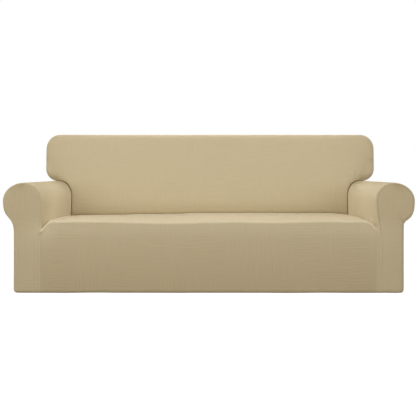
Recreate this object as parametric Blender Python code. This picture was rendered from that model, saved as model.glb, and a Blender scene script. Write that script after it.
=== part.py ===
"""Stretch slipcover for a three-seat sofa with rolled arms, in the shape it holds when fitted.

The cover is one hollow skin, open at the floor, sewn from seven panels of knitted cloth. The skin is
laid out first as grids of points that share their seam lines. Each panel is then cut out of it and
thickened inwards, so that neighbours meet at a mitre with a hair's gap between them.

Metres, +Z up. The front faces -Y and the origin is on the floor under the middle of the cover.
"""

import math
from collections import namedtuple

import bmesh
import bpy
from mathutils import Vector
from mathutils.geometry import delaunay_2d_cdt, interpolate_bezier, intersect_point_line

# ---------------------------------------------------------------------------
# Driving dimensions
# ---------------------------------------------------------------------------

WIDTH = 2.256  # over both rolls
DEPTH = 0.915
HEIGHT = 0.915
CLOTH = 0.002  # thickness of the knit
SEAM_GAP = 0.0003  # between two panels

FRONT_Y = -DEPTH / 2
REAR_Y = DEPTH / 2

# Rolled arms. In cross-section a roll is two half ellipses that meet under its crest.
ROLL_RADIUS_Z = 0.101
ROLL_X = 1.009  # the crest
ROLL_Z = 0.503
SIDE_ANGLES = (15, 30, 44, 57, 68, 78)  # degrees up the outside of the roll from level
CREST_ANGLES = (78, 92, 107, 122, 137, 152, 166, 180)  # from the end of the back to the inner wall

# Seat
SEAT_DEPTH = 0.56  # front plane to the inside back
SEAT_CROWN = 0.006
SEAT_EDGE_RADIUS = 0.012

# Back
RECLINE = 0.06  # metres back for each metre up
BACK_ROUND = 0.040  # radius from the inside back to its top and ends
BACK_END_FALL = 0.022  # how far the ends of the inside back curve away
BACK_END_RUN = 0.16  # over this length
LOBE_LOW_RADIUS = 0.089
LOBE_TOP_RADIUS = 0.096
CREASE_DEPTH = 0.006  # the inside back dips this far where it meets seat and arms
CREASE_WIDTH = 0.012
REAR_ROUND = 0.020  # radius at the rear edges

# Hem: elastic draws the last of the skirt in
HEM_HEIGHT = 0.022
HEM_DRAW_SIDE = 0.016
HEM_DRAW_FRONT = 0.006
HEM_DRAW_FADE = 8  # how quickly each draw fades away from its own side

# One row for each arm and the end of the back above it, as uneven as the cover hangs.
Arm = namedtuple(
    "Arm",
    "name sign body_x wall_x roll_inner_x neck_foot_z neck_low_handle_z neck_high_handle_z"
    " front_round lobe_x corner_depth corner_run corner_drop corner_power corner_flatness",
)
LEFT = Arm(
    name="left",
    sign=-1,
    body_x=1.069,
    wall_x=0.918,  # the inner wall at the seat
    roll_inner_x=0.911,  # the roll overhangs the wall at the front, and tapers to it at the back
    neck_foot_z=0.330,
    neck_low_handle_z=0.430,
    neck_high_handle_z=0.395,
    front_round=0.008,
    lobe_x=1.1085,
    corner_depth=0.148,  # how far back the seat's front corner starts at the arm
    corner_run=0.055,
    corner_drop=0.028,
    corner_power=1.4,
    corner_flatness=0.9,  # 0 for a round corner, 1 for a straight slope
)
RIGHT = Arm(
    name="right",
    sign=1,
    body_x=1.0675,
    wall_x=0.928,
    roll_inner_x=0.910,
    neck_foot_z=0.365,
    neck_low_handle_z=0.415,
    neck_high_handle_z=0.380,
    front_round=0.010,
    lobe_x=1.124,
    corner_depth=0.178,
    corner_run=0.065,
    corner_drop=0.037,
    corner_power=2.0,
    corner_flatness=0.4,
)

# Height of the seat along its front edge and along the inside back, from left to right.
Level = namedtuple("Level", "x z")
FRONT_EDGE = (
    Level(-0.92, 0.383),
    Level(-0.875, 0.393),
    Level(-0.78, 0.396),
    Level(-0.49, 0.393),
    Level(-0.37, 0.390),
    Level(-0.29, 0.387),
    Level(-0.15, 0.388),
    Level(0.03, 0.392),
    Level(0.16, 0.394),
    Level(0.29, 0.391),
    Level(0.385, 0.390),
    Level(0.50, 0.394),
    Level(0.67, 0.396),
    Level(0.76, 0.394),
    Level(0.86, 0.396),
    Level(0.93, 0.373),
)
BACK_EDGE = (
    Level(-0.92, 0.372),
    Level(-0.83, 0.377),
    Level(-0.59, 0.378),
    Level(-0.45, 0.383),
    Level(-0.20, 0.385),
    Level(-0.11, 0.390),
    Level(0.80, 0.390),
    Level(0.88, 0.384),
    Level(0.93, 0.3735),
)

# How the grids are spaced
SEAT_COLUMNS = 16  # across the middle of the seat
SEAT_MIDDLE_X = 0.80
SEAT_END_COLUMNS = (0.845, 0.880, 0.903)
SIDE_LEVELS = (0.0, 0.11, 0.22)  # heights of the points up the outside of an arm
NECK_STEPS = 7
QUARTER_TURN = (90, 60, 30, 0)  # degrees through a rounded edge
CORNER_FRACTIONS = (0.19, 0.40, 0.69, 1.0)  # of the corner's depth
DECK_FRACTIONS = (0.35, 0.70, 1.0)
DROP_FRACTIONS = (0.12, 0.35, 0.65, 1.0)
WALL_FRACTIONS = (0.0, 0.03, 0.10, 0.35, 0.65, 1.0)  # up the wall from the seat to the roll
BACK_FRACTIONS = (0.0, 0.015, 0.045, 0.10, 0.28, 0.50, 0.72, 0.90, 0.955, 0.985, 1.0)
BOXING_FRACTIONS = (0.0, 0.25, 0.5, 0.75, 1.0)
LOBE_STEPS = 5
HEM_LEVELS = tuple(HEM_HEIGHT * (1 - math.cos(math.radians(turn))) for turn in (30, 60, 90))

MERGE_DISTANCE = 1e-5
INSIDE_ONLY = 1  # the fill keeps only the triangles inside the outline
MOST_MITRE = 4.0  # limits how far a sharp fold pushes the inner face
LEAST_TURN = 0.25  # limits how far a sharp turn of a seam pulls its corner

PANELS = (
    "seat_and_skirt",
    "inside_back",
    "outside_back",
    "arm_wrap_left",
    "arm_wrap_right",
    "arm_front_left",
    "arm_front_right",
)

# ---------------------------------------------------------------------------
# Lines of the cover
# ---------------------------------------------------------------------------


def mix(first, second, share):
    return first + (second - first) * share


def ease(share):
    return share * share * (3 - 2 * share)


def round_fall(distance, radius):
    """How far a rounded edge falls away at this distance from its end."""
    reach = 1 - min(distance / radius, 1)
    return radius * (1 - math.sqrt(1 - reach * reach))


def level_at(table, x):
    """Height at x on a smooth line through the rows of the table."""
    if x <= table[0].x:
        return table[0].z
    for here, following in zip(table, table[1:]):
        if x <= following.x:
            return mix(here.z, following.z, ease((x - here.x) / (following.x - here.x)))
    return table[-1].z


def inset(outline, amount):
    """The outline moved inwards, square to itself. Its inside is on the left of the way it runs."""
    runs = [(end - start).normalized() for start, end in zip(outline, outline[1:])]
    moved = []
    for point, before, after in zip(outline, runs[:1] + runs, runs + runs[-1:]):
        run = (before + after).normalized()
        moved.append(point + amount * Vector((-run.y, run.x)))
    return moved


def roll_point(angle, inner_x):
    """(x, z) of a point on a roll whose inner side reaches inner_x. The angle starts from outwards."""
    turn = math.radians(angle)
    reach = WIDTH / 2 - ROLL_X if math.cos(turn) > 0 else ROLL_X - inner_x
    return Vector((ROLL_X + reach * math.cos(turn), ROLL_Z + ROLL_RADIUS_Z * math.sin(turn)))


def arm_outside(arm):
    """(x, z) up the outside of an arm: the side, the neck, and the roll as far as the end of the back."""
    side = [Vector((arm.body_x, z)) for z in SIDE_LEVELS]
    roll_start = roll_point(0, arm.wall_x)
    neck = interpolate_bezier(
        Vector((arm.body_x, arm.neck_foot_z)),
        Vector((arm.body_x, arm.neck_low_handle_z)),
        Vector((roll_start.x, arm.neck_high_handle_z)),
        roll_start,
        NECK_STEPS + 1,
    )
    roll = [roll_point(angle, arm.wall_x) for angle in SIDE_ANGLES]
    return side + [Vector(point[:2]) for point in neck] + roll


def arm_inside(arm, inner_x, foot_z):
    """(x, z) over the roll from the end of the back, then down the inner wall to the seat."""
    points = [roll_point(angle, inner_x) for angle in CREST_ANGLES]
    for share in reversed(WALL_FRACTIONS[:-1]):
        points.append(Vector((mix(arm.wall_x, inner_x, ease(share)), mix(foot_z, ROLL_Z, share))))
    return points


def lobe_low(arm):
    """(x, z) of the rounded corner under one end of the back, from the roll out to the end."""
    contact = roll_point(CREST_ANGLES[0], arm.wall_x)
    centre_x = arm.lobe_x - LOBE_LOW_RADIUS
    rise = math.sqrt(LOBE_LOW_RADIUS**2 - (contact.x - centre_x) ** 2)
    centre_z = contact.y + rise
    start = math.atan2(contact.y - centre_z, contact.x - centre_x)
    points = []
    for step in range(LOBE_STEPS + 1):
        turn = mix(start, 0.0, step / LOBE_STEPS)
        spoke = Vector((math.cos(turn), math.sin(turn)))
        points.append(Vector((centre_x, centre_z)) + LOBE_LOW_RADIUS * spoke)
    return points


def back_top_z(arm, x):
    """Height of the back's outline above a point x out from the middle."""
    into_corner = max(x - (arm.lobe_x - LOBE_TOP_RADIUS), 0)
    return HEIGHT - LOBE_TOP_RADIUS + math.sqrt(max(LOBE_TOP_RADIUS**2 - into_corner**2, 0))


# ---------------------------------------------------------------------------
# Seat
# ---------------------------------------------------------------------------


def seat_columns():
    """x of the columns that the seat and the inside back share, from wall to wall."""
    middle = [mix(-SEAT_MIDDLE_X, SEAT_MIDDLE_X, i / SEAT_COLUMNS) for i in range(SEAT_COLUMNS + 1)]
    left_end = [-LEFT.wall_x] + [-x for x in reversed(SEAT_END_COLUMNS)]
    right_end = list(SEAT_END_COLUMNS) + [RIGHT.wall_x]
    return left_end + middle + right_end


def corner_share(arm, x):
    """0 along the seat, rising to 1 at the arm, through the rounded front corner."""
    return min(max((abs(x) - (arm.wall_x - arm.corner_run)) / arm.corner_run, 0), 1)


def seat_point(x, depth, rear_y):
    """A point of the seat. depth is where the same row meets the arm, measured from the front plane."""
    arm = RIGHT if x > 0 else LEFT
    share = corner_share(arm, x)
    power = arm.corner_power
    drop = arm.corner_drop * (1 - (1 - share**power) ** (1 / power))
    run_y = mix(SEAT_EDGE_RADIUS, arm.corner_depth, share)
    run_z = SEAT_EDGE_RADIUS + drop
    front_z = level_at(FRONT_EDGE, x)
    if depth <= arm.corner_depth:
        sine = 1 - depth / arm.corner_depth
        fall = mix(1 - math.sqrt(1 - sine * sine), sine, share * arm.corner_flatness)
        return Vector((x, FRONT_Y + run_y * (1 - sine), front_z - run_z * fall))
    share = (depth - arm.corner_depth) / (SEAT_DEPTH - arm.corner_depth)
    crown = SEAT_CROWN * math.sin(math.pi * share)
    z = mix(front_z, level_at(BACK_EDGE, x), share) + crown
    return Vector((x, mix(FRONT_Y + run_y, rear_y, share), z))


def arm_rows(arm):
    """(depth behind the front plane, inset of the arm's outline) for each row along an arm."""
    rows = []
    for turn in QUARTER_TURN:
        angle = math.radians(turn)
        rows.append((arm.front_round * (1 - math.sin(angle)), arm.front_round * (1 - math.cos(angle))))
    rows += [(arm.corner_depth * share, 0.0) for share in CORNER_FRACTIONS]
    rows += [(mix(arm.corner_depth, SEAT_DEPTH, share), 0.0) for share in DECK_FRACTIONS]
    return rows


# ---------------------------------------------------------------------------
# Back
# ---------------------------------------------------------------------------


def back_columns():
    """(x, low z, high z) of each column of the inside back above the roll's height, from end to end."""
    ends = {}
    for arm in (LEFT, RIGHT):
        crest = [roll_point(angle, arm.wall_x) for angle in reversed(CREST_ANGLES)]
        lows = crest + lobe_low(arm)[1:]
        ends[arm.name] = [(arm.sign * low.x, low.y, back_top_z(arm, low.x)) for low in lows]
    middle = [(x, ROLL_Z, HEIGHT) for x in seat_columns()[1:-1]]
    return ends["left"][::-1] + middle + ends["right"]


def free_line():
    """(x, z) along the loose edge of the back: from the right roll round the top to the left roll."""
    columns = back_columns()
    right_low = [Vector((point.x, point.y)) for point in lobe_low(RIGHT)]
    left_low = [Vector((-point.x, point.y)) for point in lobe_low(LEFT)]
    right_x, right_foot, right_head = columns[-1]
    left_x, left_foot, left_head = columns[0]
    right_end = [Vector((right_x, mix(right_foot, right_head, share))) for share in BACK_FRACTIONS[1:]]
    left_end = [Vector((left_x, mix(left_foot, left_head, share))) for share in BACK_FRACTIONS[1:]]
    top = [Vector((x, high)) for x, _, high in reversed(columns[1:-1])]
    return right_low + right_end + top + left_end[::-1] + left_low[::-1]


def join_line():
    """(x, z) where the back meets the arms and the seat, from the right roll to the left roll."""
    seat = [Vector((x, level_at(BACK_EDGE, x))) for x in reversed(seat_columns())]
    right = arm_inside(RIGHT, RIGHT.wall_x, seat[0].y)[:-1]
    left = [Vector((-point.x, point.y)) for point in arm_inside(LEFT, LEFT.wall_x, seat[-1].y)[:-1]]
    return right + seat + left[::-1]


def distance_to(line, point):
    nearest = math.inf
    for start, end in zip(line, line[1:]):
        _, share = intersect_point_line(point, start, end)
        foot = start.lerp(end, min(max(share, 0), 1))
        nearest = min(nearest, (point - foot).length)
    return nearest


FREE_LINE = free_line()
JOIN_LINE = join_line()


def back_y(x, z):
    """y of the inside back: it leans, its ends curve away, its loose edge is round, its joins dip."""
    arm = RIGHT if x > 0 else LEFT
    into_end = max(abs(x) - (arm.lobe_x - BACK_END_RUN), 0) / BACK_END_RUN
    lean = RECLINE * (z - BACK_EDGE[0].z)
    end_fall = BACK_END_FALL * into_end * into_end
    point = Vector((x, z))
    edge_fall = round_fall(distance_to(FREE_LINE, point), BACK_ROUND)
    into_crease = max(1 - distance_to(JOIN_LINE, point) / CREASE_WIDTH, 0)
    crease_fall = CREASE_DEPTH * into_crease * into_crease
    return FRONT_Y + SEAT_DEPTH + lean + end_fall + max(edge_fall, crease_fall)


# ---------------------------------------------------------------------------
# The skin, laid out as grids of points
# ---------------------------------------------------------------------------


def add_grid(skin, rows, panel):
    """Joins rows of points into four-sided faces that belong to one panel."""
    made = [[skin.verts.new(point) for point in row] for row in rows]
    for near, far in zip(made, made[1:]):
        for corners in zip(near, near[1:], far[1:], far):
            skin.faces.new(corners).material_index = PANELS.index(panel)


def add_outline(skin, loop, panel):
    """Fills a flat upright outline with triangles between its own points."""
    corners = [skin.verts.new(point) for point in loop]
    flat = [Vector((point.x, point.z)) for point in loop]
    filled = delaunay_2d_cdt(flat, [], [range(len(flat))], INSIDE_ONLY, MERGE_DISTANCE)
    triangles, sources = filled[2], filled[3]
    for triangle in triangles:
        face = skin.faces.new([corners[sources[index][0]] for index in triangle])
        face.material_index = PANELS.index(panel)


def seat_rows():
    """Rows of the seat and its front drop, from the inside back forwards and down to the hem."""
    columns = seat_columns()
    rear = [back_y(x, level_at(BACK_EDGE, x)) for x in columns]
    left_rows = arm_rows(LEFT)[::-1]
    right_rows = arm_rows(RIGHT)[::-1]
    rows = []
    for (left_depth, left_inset), (right_depth, right_inset) in zip(left_rows, right_rows):
        row = []
        for x, rear_y in zip(columns, rear):
            row.append(seat_point(x, right_depth if x > 0 else left_depth, rear_y))
        row[0].x -= left_inset
        row[-1].x += right_inset
        rows.append(row)
    edge = rows[-1]
    for share in DROP_FRACTIONS:
        rows.append([Vector((point.x, FRONT_Y, mix(point.z, 0, share))) for point in edge])
    return rows


def arm_front_rows(arm):
    """Rows of points round the arm, from the front rim back to the inside back."""
    wall_x = arm.sign * arm.wall_x
    outside = arm_outside(arm)
    join = arm_inside(arm, arm.wall_x, level_at(BACK_EDGE, wall_x))
    contact_y = back_y(arm.sign * join[0].x, join[0].y)
    join_y = [contact_y] * len(outside)
    join_y += [back_y(arm.sign * point.x, point.y) for point in join[1:]]
    rows = []
    for depth, moved_in in arm_rows(arm):
        foot = seat_point(wall_x, depth, join_y[-1])
        inner_x = mix(arm.roll_inner_x, arm.wall_x, depth / SEAT_DEPTH)
        outline = inset(outside + arm_inside(arm, inner_x, foot.z)[1:], moved_in)
        outline[-1] = Vector((arm.wall_x + moved_in, foot.z))
        share = max(depth - arm.corner_depth, 0) / (SEAT_DEPTH - arm.corner_depth)
        start = FRONT_Y + min(depth, arm.corner_depth)
        rows.append(
            [Vector((arm.sign * p.x, mix(start, y, share), p.y)) for p, y in zip(outline, join_y)]
        )
    return rows


def rear_rows(line, front_ys):
    """Rows from the inside back's depth to the rear panel, for points of the rear outline.

    line holds the outline's points once for each row of the rear rounding, outermost first.
    """
    straight_end = REAR_Y - REAR_ROUND
    rows = []
    for share in BOXING_FRACTIONS:
        rows.append([Vector((p.x, mix(y, straight_end, share), p.y)) for p, y in zip(line[0], front_ys)])
    for turn, points in zip(QUARTER_TURN[::-1][1:], line[1:]):
        y = straight_end + REAR_ROUND * math.sin(math.radians(turn))
        rows.append([Vector((p.x, y, p.y)) for p in points])
    return rows


def rear_outlines():
    """The outline of the cover seen from behind, from hem to hem, once for each row of the rounding."""
    right = arm_outside(RIGHT)
    left = [Vector((-point.x, point.y)) for point in arm_outside(LEFT)]
    outline = right + FREE_LINE[1:-1] + left[::-1]
    amounts = [REAR_ROUND * (1 - math.cos(math.radians(turn))) for turn in QUARTER_TURN[::-1]]
    return [inset(outline, amount) for amount in amounts]


def back_rows():
    """Rows of the inside back: a part between the arms, and a wider part above them."""
    columns = seat_columns()
    low = []
    for share in WALL_FRACTIONS:
        zs = [mix(level_at(BACK_EDGE, x), ROLL_Z, share) for x in columns]
        low.append([Vector((x, back_y(x, z), z)) for x, z in zip(columns, zs)])
    high = []
    for share in BACK_FRACTIONS:
        row = []
        for x, foot, head in back_columns():
            z = mix(foot, head, share)
            row.append(Vector((x, back_y(x, z), z)))
        high.append(row)
    return low, high


def draw_in_hem(skin):
    """Cuts rows into the last of the skirt, and curves them in under the cover."""
    for level in HEM_LEVELS:
        everything = skin.verts[:] + skin.edges[:] + skin.faces[:]
        bmesh.ops.bisect_plane(skin, geom=everything, plane_co=(0, 0, level), plane_no=(0, 0, 1))
    for vertex in skin.verts:
        fall = round_fall(vertex.co.z, HEM_HEIGHT) / HEM_HEIGHT
        side_share = min(abs(vertex.co.x) / LEFT.body_x, 1) ** HEM_DRAW_FADE
        front_share = min(abs(vertex.co.y) / REAR_Y, 1) ** HEM_DRAW_FADE
        vertex.co.x -= math.copysign(HEM_DRAW_SIDE * fall * side_share, vertex.co.x)
        vertex.co.y -= math.copysign(HEM_DRAW_FRONT * fall * front_share, vertex.co.y)


def build_skin():
    """The whole outer surface as one mesh. A face's material index is its panel's place in PANELS."""
    skin = bmesh.new()
    seat = seat_rows()
    add_grid(skin, seat, "seat_and_skirt")
    for rows in back_rows():
        add_grid(skin, rows, "inside_back")

    outlines = rear_outlines()
    outside_count = len(arm_outside(RIGHT))
    free_slice = slice(outside_count - 1, outside_count - 1 + len(FREE_LINE))
    free_ys = [back_y(point.x, point.y) for point in FREE_LINE]
    add_grid(skin, rear_rows([line[free_slice] for line in outlines], free_ys), "inside_back")

    first_drop_row = len(seat) - len(DROP_FRACTIONS)
    for arm in (LEFT, RIGHT):
        wrap = "arm_wrap_" + arm.name
        rows = arm_front_rows(arm)
        add_grid(skin, rows, wrap)
        contact = FREE_LINE[0] if arm is RIGHT else FREE_LINE[-1]
        contact_ys = [back_y(contact.x, contact.y)] * outside_count
        if arm is RIGHT:
            lines = [line[:outside_count] for line in outlines]
        else:
            lines = [line[-outside_count:] for line in outlines]
        add_grid(skin, rear_rows(lines, contact_ys), wrap)
        seat_end = -1 if arm is RIGHT else 0
        seam = [row[seat_end] for row in seat[first_drop_row:]]
        add_outline(skin, rows[0] + seam, "arm_front_" + arm.name)

    add_outline(skin, [Vector((p.x, REAR_Y, p.y)) for p in outlines[-1]], "outside_back")
    bmesh.ops.remove_doubles(skin, verts=skin.verts, dist=MERGE_DISTANCE)
    draw_in_hem(skin)
    bmesh.ops.recalc_face_normals(skin, faces=skin.faces)
    skin.normal_update()
    return skin


# ---------------------------------------------------------------------------
# Panels cut from the skin
# ---------------------------------------------------------------------------


def seam_shift(vertex, faces):
    """How a vertex on a panel's edge moves into the panel, so that half a seam gap opens there."""
    pulls = []
    for edge in vertex.link_edges:
        inside = [face for face in edge.link_faces if face in faces]
        if len(inside) != 1 or len(edge.link_faces) != 2:
            continue
        along = edge.other_vert(vertex).co - vertex.co
        pull = vertex.normal.cross(along).normalized()
        if pull.dot(inside[0].calc_center_median() - vertex.co) < 0:
            pull.negate()
        pulls.append(pull)
    if not pulls:
        return Vector()
    if len(pulls) == 1:
        return pulls[0] * SEAM_GAP / 2
    first, second = pulls[0], pulls[1]
    return (first + second) * SEAM_GAP / 2 / max(1 + first.dot(second), LEAST_TURN)


def cut_panel(skin, panel):
    """One panel as a closed mesh: its outer face, its inner face, and the cut edge between them."""
    index = PANELS.index(panel)
    faces = {face for face in skin.faces if face.material_index == index}
    solid = bmesh.new()
    outer = {}
    inner = {}
    for vertex in sorted({v for face in faces for v in face.verts}, key=lambda v: v.index):
        place = vertex.co + seam_shift(vertex, faces)
        mitre = min(vertex.calc_shell_factor(), MOST_MITRE)
        outer[vertex] = solid.verts.new(place)
        inner[vertex] = solid.verts.new(place - vertex.normal * CLOTH * mitre)
    for face in sorted(faces, key=lambda f: f.index):
        solid.faces.new([outer[v] for v in face.verts])
        solid.faces.new([inner[v] for v in reversed(face.verts)])
        for loop in face.loops:
            if any(other is not face and other in faces for other in loop.edge.link_faces):
                continue
            start = loop.vert
            end = loop.link_loop_next.vert
            if start.index < end.index:
                solid.faces.new((outer[end], outer[start], inner[end]))
                solid.faces.new((outer[start], inner[start], inner[end]))
            else:
                solid.faces.new((outer[end], outer[start], inner[start]))
                solid.faces.new((outer[end], inner[start], inner[end]))
    mesh = bpy.data.meshes.new(panel)
    solid.to_mesh(mesh)
    solid.free()
    return mesh


# ---------------------------------------------------------------------------
# Material and scene
# ---------------------------------------------------------------------------

KNIT_COLOUR = (0.54, 0.45, 0.285, 1.0)
KNIT_ROUGHNESS = 0.9
SHARP_ANGLE = math.radians(50)


def knit_material(panel):
    material = bpy.data.materials.new("knit_" + panel)
    material.use_nodes = True
    shader = material.node_tree.nodes["Principled BSDF"]
    shader.inputs["Base Color"].default_value = KNIT_COLOUR
    shader.inputs["Roughness"].default_value = KNIT_ROUGHNESS
    shader.inputs["Metallic"].default_value = 0.0
    material.diffuse_color = KNIT_COLOUR
    return material


def main():
    for old in list(bpy.data.objects):
        bpy.data.objects.remove(old, do_unlink=True)
    skin = build_skin()
    skin.verts.index_update()
    skin.faces.index_update()
    for panel in PANELS:
        mesh = cut_panel(skin, panel)
        mesh.materials.append(knit_material(panel))
        mesh.shade_smooth()
        mesh.set_sharp_from_angle(angle=SHARP_ANGLE)
        bpy.context.scene.collection.objects.link(bpy.data.objects.new(panel, mesh))
    skin.free()


main()
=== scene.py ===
# %% [markdown]
# # A stretch slipcover for a three-seat sofa
#
# The real cover is knitted cloth with elastane in it, sewn from seven panels and pulled tight over
# a sofa with rolled arms. The sofa is left out: the cover is a hollow skin that keeps its shape.
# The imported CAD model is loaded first. It fixes where every panel is and how large the whole is.

# %% Load the frame
import math
from collections import namedtuple

import bmesh
import bpy
import numpy as np
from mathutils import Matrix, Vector, noise
from mathutils.geometry import delaunay_2d_cdt
from mathutils.kdtree import KDTree


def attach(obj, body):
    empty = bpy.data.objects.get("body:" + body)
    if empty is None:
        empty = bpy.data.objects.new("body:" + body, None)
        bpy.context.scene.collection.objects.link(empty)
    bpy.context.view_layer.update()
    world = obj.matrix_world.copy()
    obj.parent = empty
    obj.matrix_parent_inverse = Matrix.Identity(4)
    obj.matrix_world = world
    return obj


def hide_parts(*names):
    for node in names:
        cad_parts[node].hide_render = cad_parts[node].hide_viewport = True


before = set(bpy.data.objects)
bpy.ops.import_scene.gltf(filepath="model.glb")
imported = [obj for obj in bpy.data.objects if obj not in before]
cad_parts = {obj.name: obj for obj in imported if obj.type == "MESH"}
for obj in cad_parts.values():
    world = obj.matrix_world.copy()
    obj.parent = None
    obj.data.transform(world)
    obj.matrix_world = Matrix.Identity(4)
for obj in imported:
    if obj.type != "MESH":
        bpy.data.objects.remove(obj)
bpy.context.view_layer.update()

# %% [markdown]
# ## Sizes
#
# A cover is cut from measurements of the sofa: over the arms, under the arms, seat, back. The same
# measurements are written down here as names, so that each panel's surface can be worked out from
# them with a finer grid than the CAD solids have. Left and right differ a little, as they do on a
# cover that was pulled on by hand.

# %% Measurements of the fitted cover, in metres
WIDTH, DEPTH, HEIGHT = 2.256, 0.915, 0.915
FRONT_Y, REAR_Y = -DEPTH / 2, DEPTH / 2
ROLL_X, ROLL_Z, ROLL_RADIUS_Z = 1.009, 0.503, 0.101
CONTACT_ANGLE = 78  # where the end of the back rests on a roll, in degrees up its outside
SEAT_DEPTH, SEAT_CROWN, SEAT_EDGE_RADIUS = 0.56, 0.006, 0.012
RECLINE, BACK_ROUND, BACK_END_FALL, BACK_END_RUN = 0.06, 0.040, 0.022, 0.16
LOBE_LOW_RADIUS, LOBE_TOP_RADIUS = 0.089, 0.096
CREASE_DEPTH, CREASE_WIDTH = 0.006, 0.012
REAR_ROUND = 0.020
HEM_HEIGHT, HEM_DRAW_SIDE, HEM_DRAW_FRONT, HEM_DRAW_FADE = 0.022, 0.016, 0.006, 8

Arm = namedtuple(
    "Arm",
    "name sign body_x wall_x roll_inner_x neck_foot_z neck_low_handle_z neck_high_handle_z"
    " front_round lobe_x corner_depth corner_run corner_drop corner_power corner_flatness",
)
LEFT = Arm(
    "left", -1, 1.069, 0.918, 0.911, 0.330, 0.430, 0.395,
    0.008, 1.1085, 0.148, 0.055, 0.035, 1.4, 0.9,
)
RIGHT = Arm(
    "right", 1, 1.0675, 0.928, 0.910, 0.365, 0.415, 0.380,
    0.010, 1.124, 0.178, 0.065, 0.037, 2.0, 0.4,
)
ARMS = (LEFT, RIGHT)

# (x, height) of the seat along its front edge and along the inside back
FRONT_EDGE = (
    (-0.92, 0.383), (-0.875, 0.393), (-0.78, 0.396), (-0.49, 0.393), (-0.37, 0.390), (-0.29, 0.387),
    (-0.15, 0.388), (0.03, 0.392), (0.16, 0.394), (0.29, 0.391), (0.385, 0.390), (0.50, 0.394),
    (0.67, 0.396), (0.76, 0.394), (0.86, 0.396), (0.93, 0.373),
)
BACK_EDGE = (
    (-0.92, 0.372), (-0.83, 0.377), (-0.59, 0.378), (-0.45, 0.383), (-0.20, 0.385), (-0.11, 0.390),
    (0.80, 0.390), (0.88, 0.384), (0.93, 0.3735),
)
print("cover", WIDTH, "x", DEPTH, "x", HEIGHT, "m")

# %% [markdown]
# ## Helpers for lines and spacing
#
# Cloth bends most sharply next to its seams, so the grids need many points there and few in the
# middle. `spread` gives that spacing. `ease` is a smooth step, `bell` fades with distance, and
# `round_fall` is the profile of a rounded edge.

# %% Lines and spacing
SEAM_STEPS = (0.0, 0.0012, 0.0028, 0.005, 0.008, 0.012)  # distances of the first points from a seam
HEM_ROWS = (0.0, 0.001, 0.003, 0.006, 0.010, 0.015, 0.0185, 0.022, 0.0245, 0.028)
CELL = 0.010  # size of the cells in the middle of a panel


def mix(first, second, share):
    return first + (second - first) * share


def ease(share):
    return share * share * (3 - 2 * share)


def bell(distance, width):
    return np.exp(-((distance / width) ** 2))


def round_fall(distance, radius):
    reach = 1 - np.minimum(distance / radius, 1)
    return radius * (1 - np.sqrt(1 - reach * reach))


def spread(length, step, fine_start=True, fine_end=True):
    """Distances from 0 to length, close together at the ends that are seams."""
    starts = [d for d in SEAM_STEPS if fine_start or d == 0.0]
    ends = [length - d for d in reversed(SEAM_STEPS) if fine_end or d == 0.0]
    count = max(math.ceil((ends[0] - starts[-1]) / step), 1)
    middle = [mix(starts[-1], ends[0], i / count) for i in range(1, count)]
    return np.array(starts + middle + ends)


def level_at(table, x):
    """Height at x, on a smooth line through the points of a table."""
    xs, zs = np.array(table).T
    x = np.clip(x, xs[0], xs[-1])
    here = np.clip(np.searchsorted(xs, x, side="right") - 1, 0, len(xs) - 2)
    return mix(zs[here], zs[here + 1], ease((x - xs[here]) / (xs[here + 1] - xs[here])))


def line_length(line):
    return np.linalg.norm(np.diff(line, axis=0), axis=1).sum()


def inset(outline, amount):
    """An (x, z) outline moved inwards, square to itself. Its inside is on the left of its run."""
    runs = np.diff(outline, axis=0)
    runs /= np.linalg.norm(runs, axis=1)[:, None]
    bisectors = np.vstack([runs[:1], runs]) + np.vstack([runs, runs[-1:]])
    bisectors /= np.linalg.norm(bisectors, axis=1)[:, None]
    return outline + amount * np.stack([-bisectors[:, 1], bisectors[:, 0]], axis=1)


print("points across a 1 m panel with two seams:", len(spread(1.0, CELL)))

# %% [markdown]
# ## The lines of the arms
#
# Seen from the front an arm is a keyhole: an upright side, an S-shaped neck and a roll. The neck is
# a Bezier curve and the roll is two half ellipses, so that each has few numbers and stays smooth at
# any spacing.

# %% Outlines of an arm
ROLL_STEP = 4  # degrees
NECK_STEPS = 22
SIDE_STEPS = 30
WALL_RISE = 0.12  # about the height of the inner wall, from the seat to the roll
LOW_SHARES = spread(WALL_RISE, CELL, True, False) / WALL_RISE
CREST_ANGLES = [CONTACT_ANGLE, 80] + list(range(84, 181, ROLL_STEP))  # over the roll


def roll_arc(inner_x, angles):
    turn = np.radians(angles)
    reach = np.where(np.cos(turn) > 0, WIDTH / 2 - ROLL_X, ROLL_X - inner_x)
    return np.stack([ROLL_X + reach * np.cos(turn), ROLL_Z + ROLL_RADIUS_Z * np.sin(turn)], axis=1)


def arm_outside(arm):
    """(x, z) from the hem up to where the end of the back rests on the roll."""
    above_hem = np.linspace(HEM_ROWS[-1], arm.neck_foot_z, SIDE_STEPS)[1:]
    side = np.array([(arm.body_x, z) for z in list(HEM_ROWS) + list(above_hem)])
    t = np.linspace(0, 1, NECK_STEPS + 1)[1:, None]
    foot = np.array([arm.body_x, arm.neck_foot_z])
    low_handle = np.array([arm.body_x, arm.neck_low_handle_z])
    high_handle = np.array([WIDTH / 2, arm.neck_high_handle_z])
    top = np.array([WIDTH / 2, ROLL_Z])
    neck = (1 - t) ** 3 * foot + 3 * t * (1 - t) ** 2 * low_handle
    neck = neck + 3 * t * t * (1 - t) * high_handle + t**3 * top
    angles = list(range(ROLL_STEP, CONTACT_ANGLE - 1, ROLL_STEP)) + [CONTACT_ANGLE]
    return np.vstack([side, neck, roll_arc(arm.wall_x, angles)])


def arm_inside(arm, inner_x, foot_z):
    """(x, z) from the end of the back over the roll, then down the inner wall to the seat."""
    shares = LOW_SHARES[:-1][::-1]
    wall_x = mix(arm.wall_x, inner_x, ease(shares))
    wall = np.stack([wall_x, mix(foot_z, ROLL_Z, shares)], axis=1)
    return np.vstack([roll_arc(inner_x, CREST_ANGLES), wall])


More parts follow.
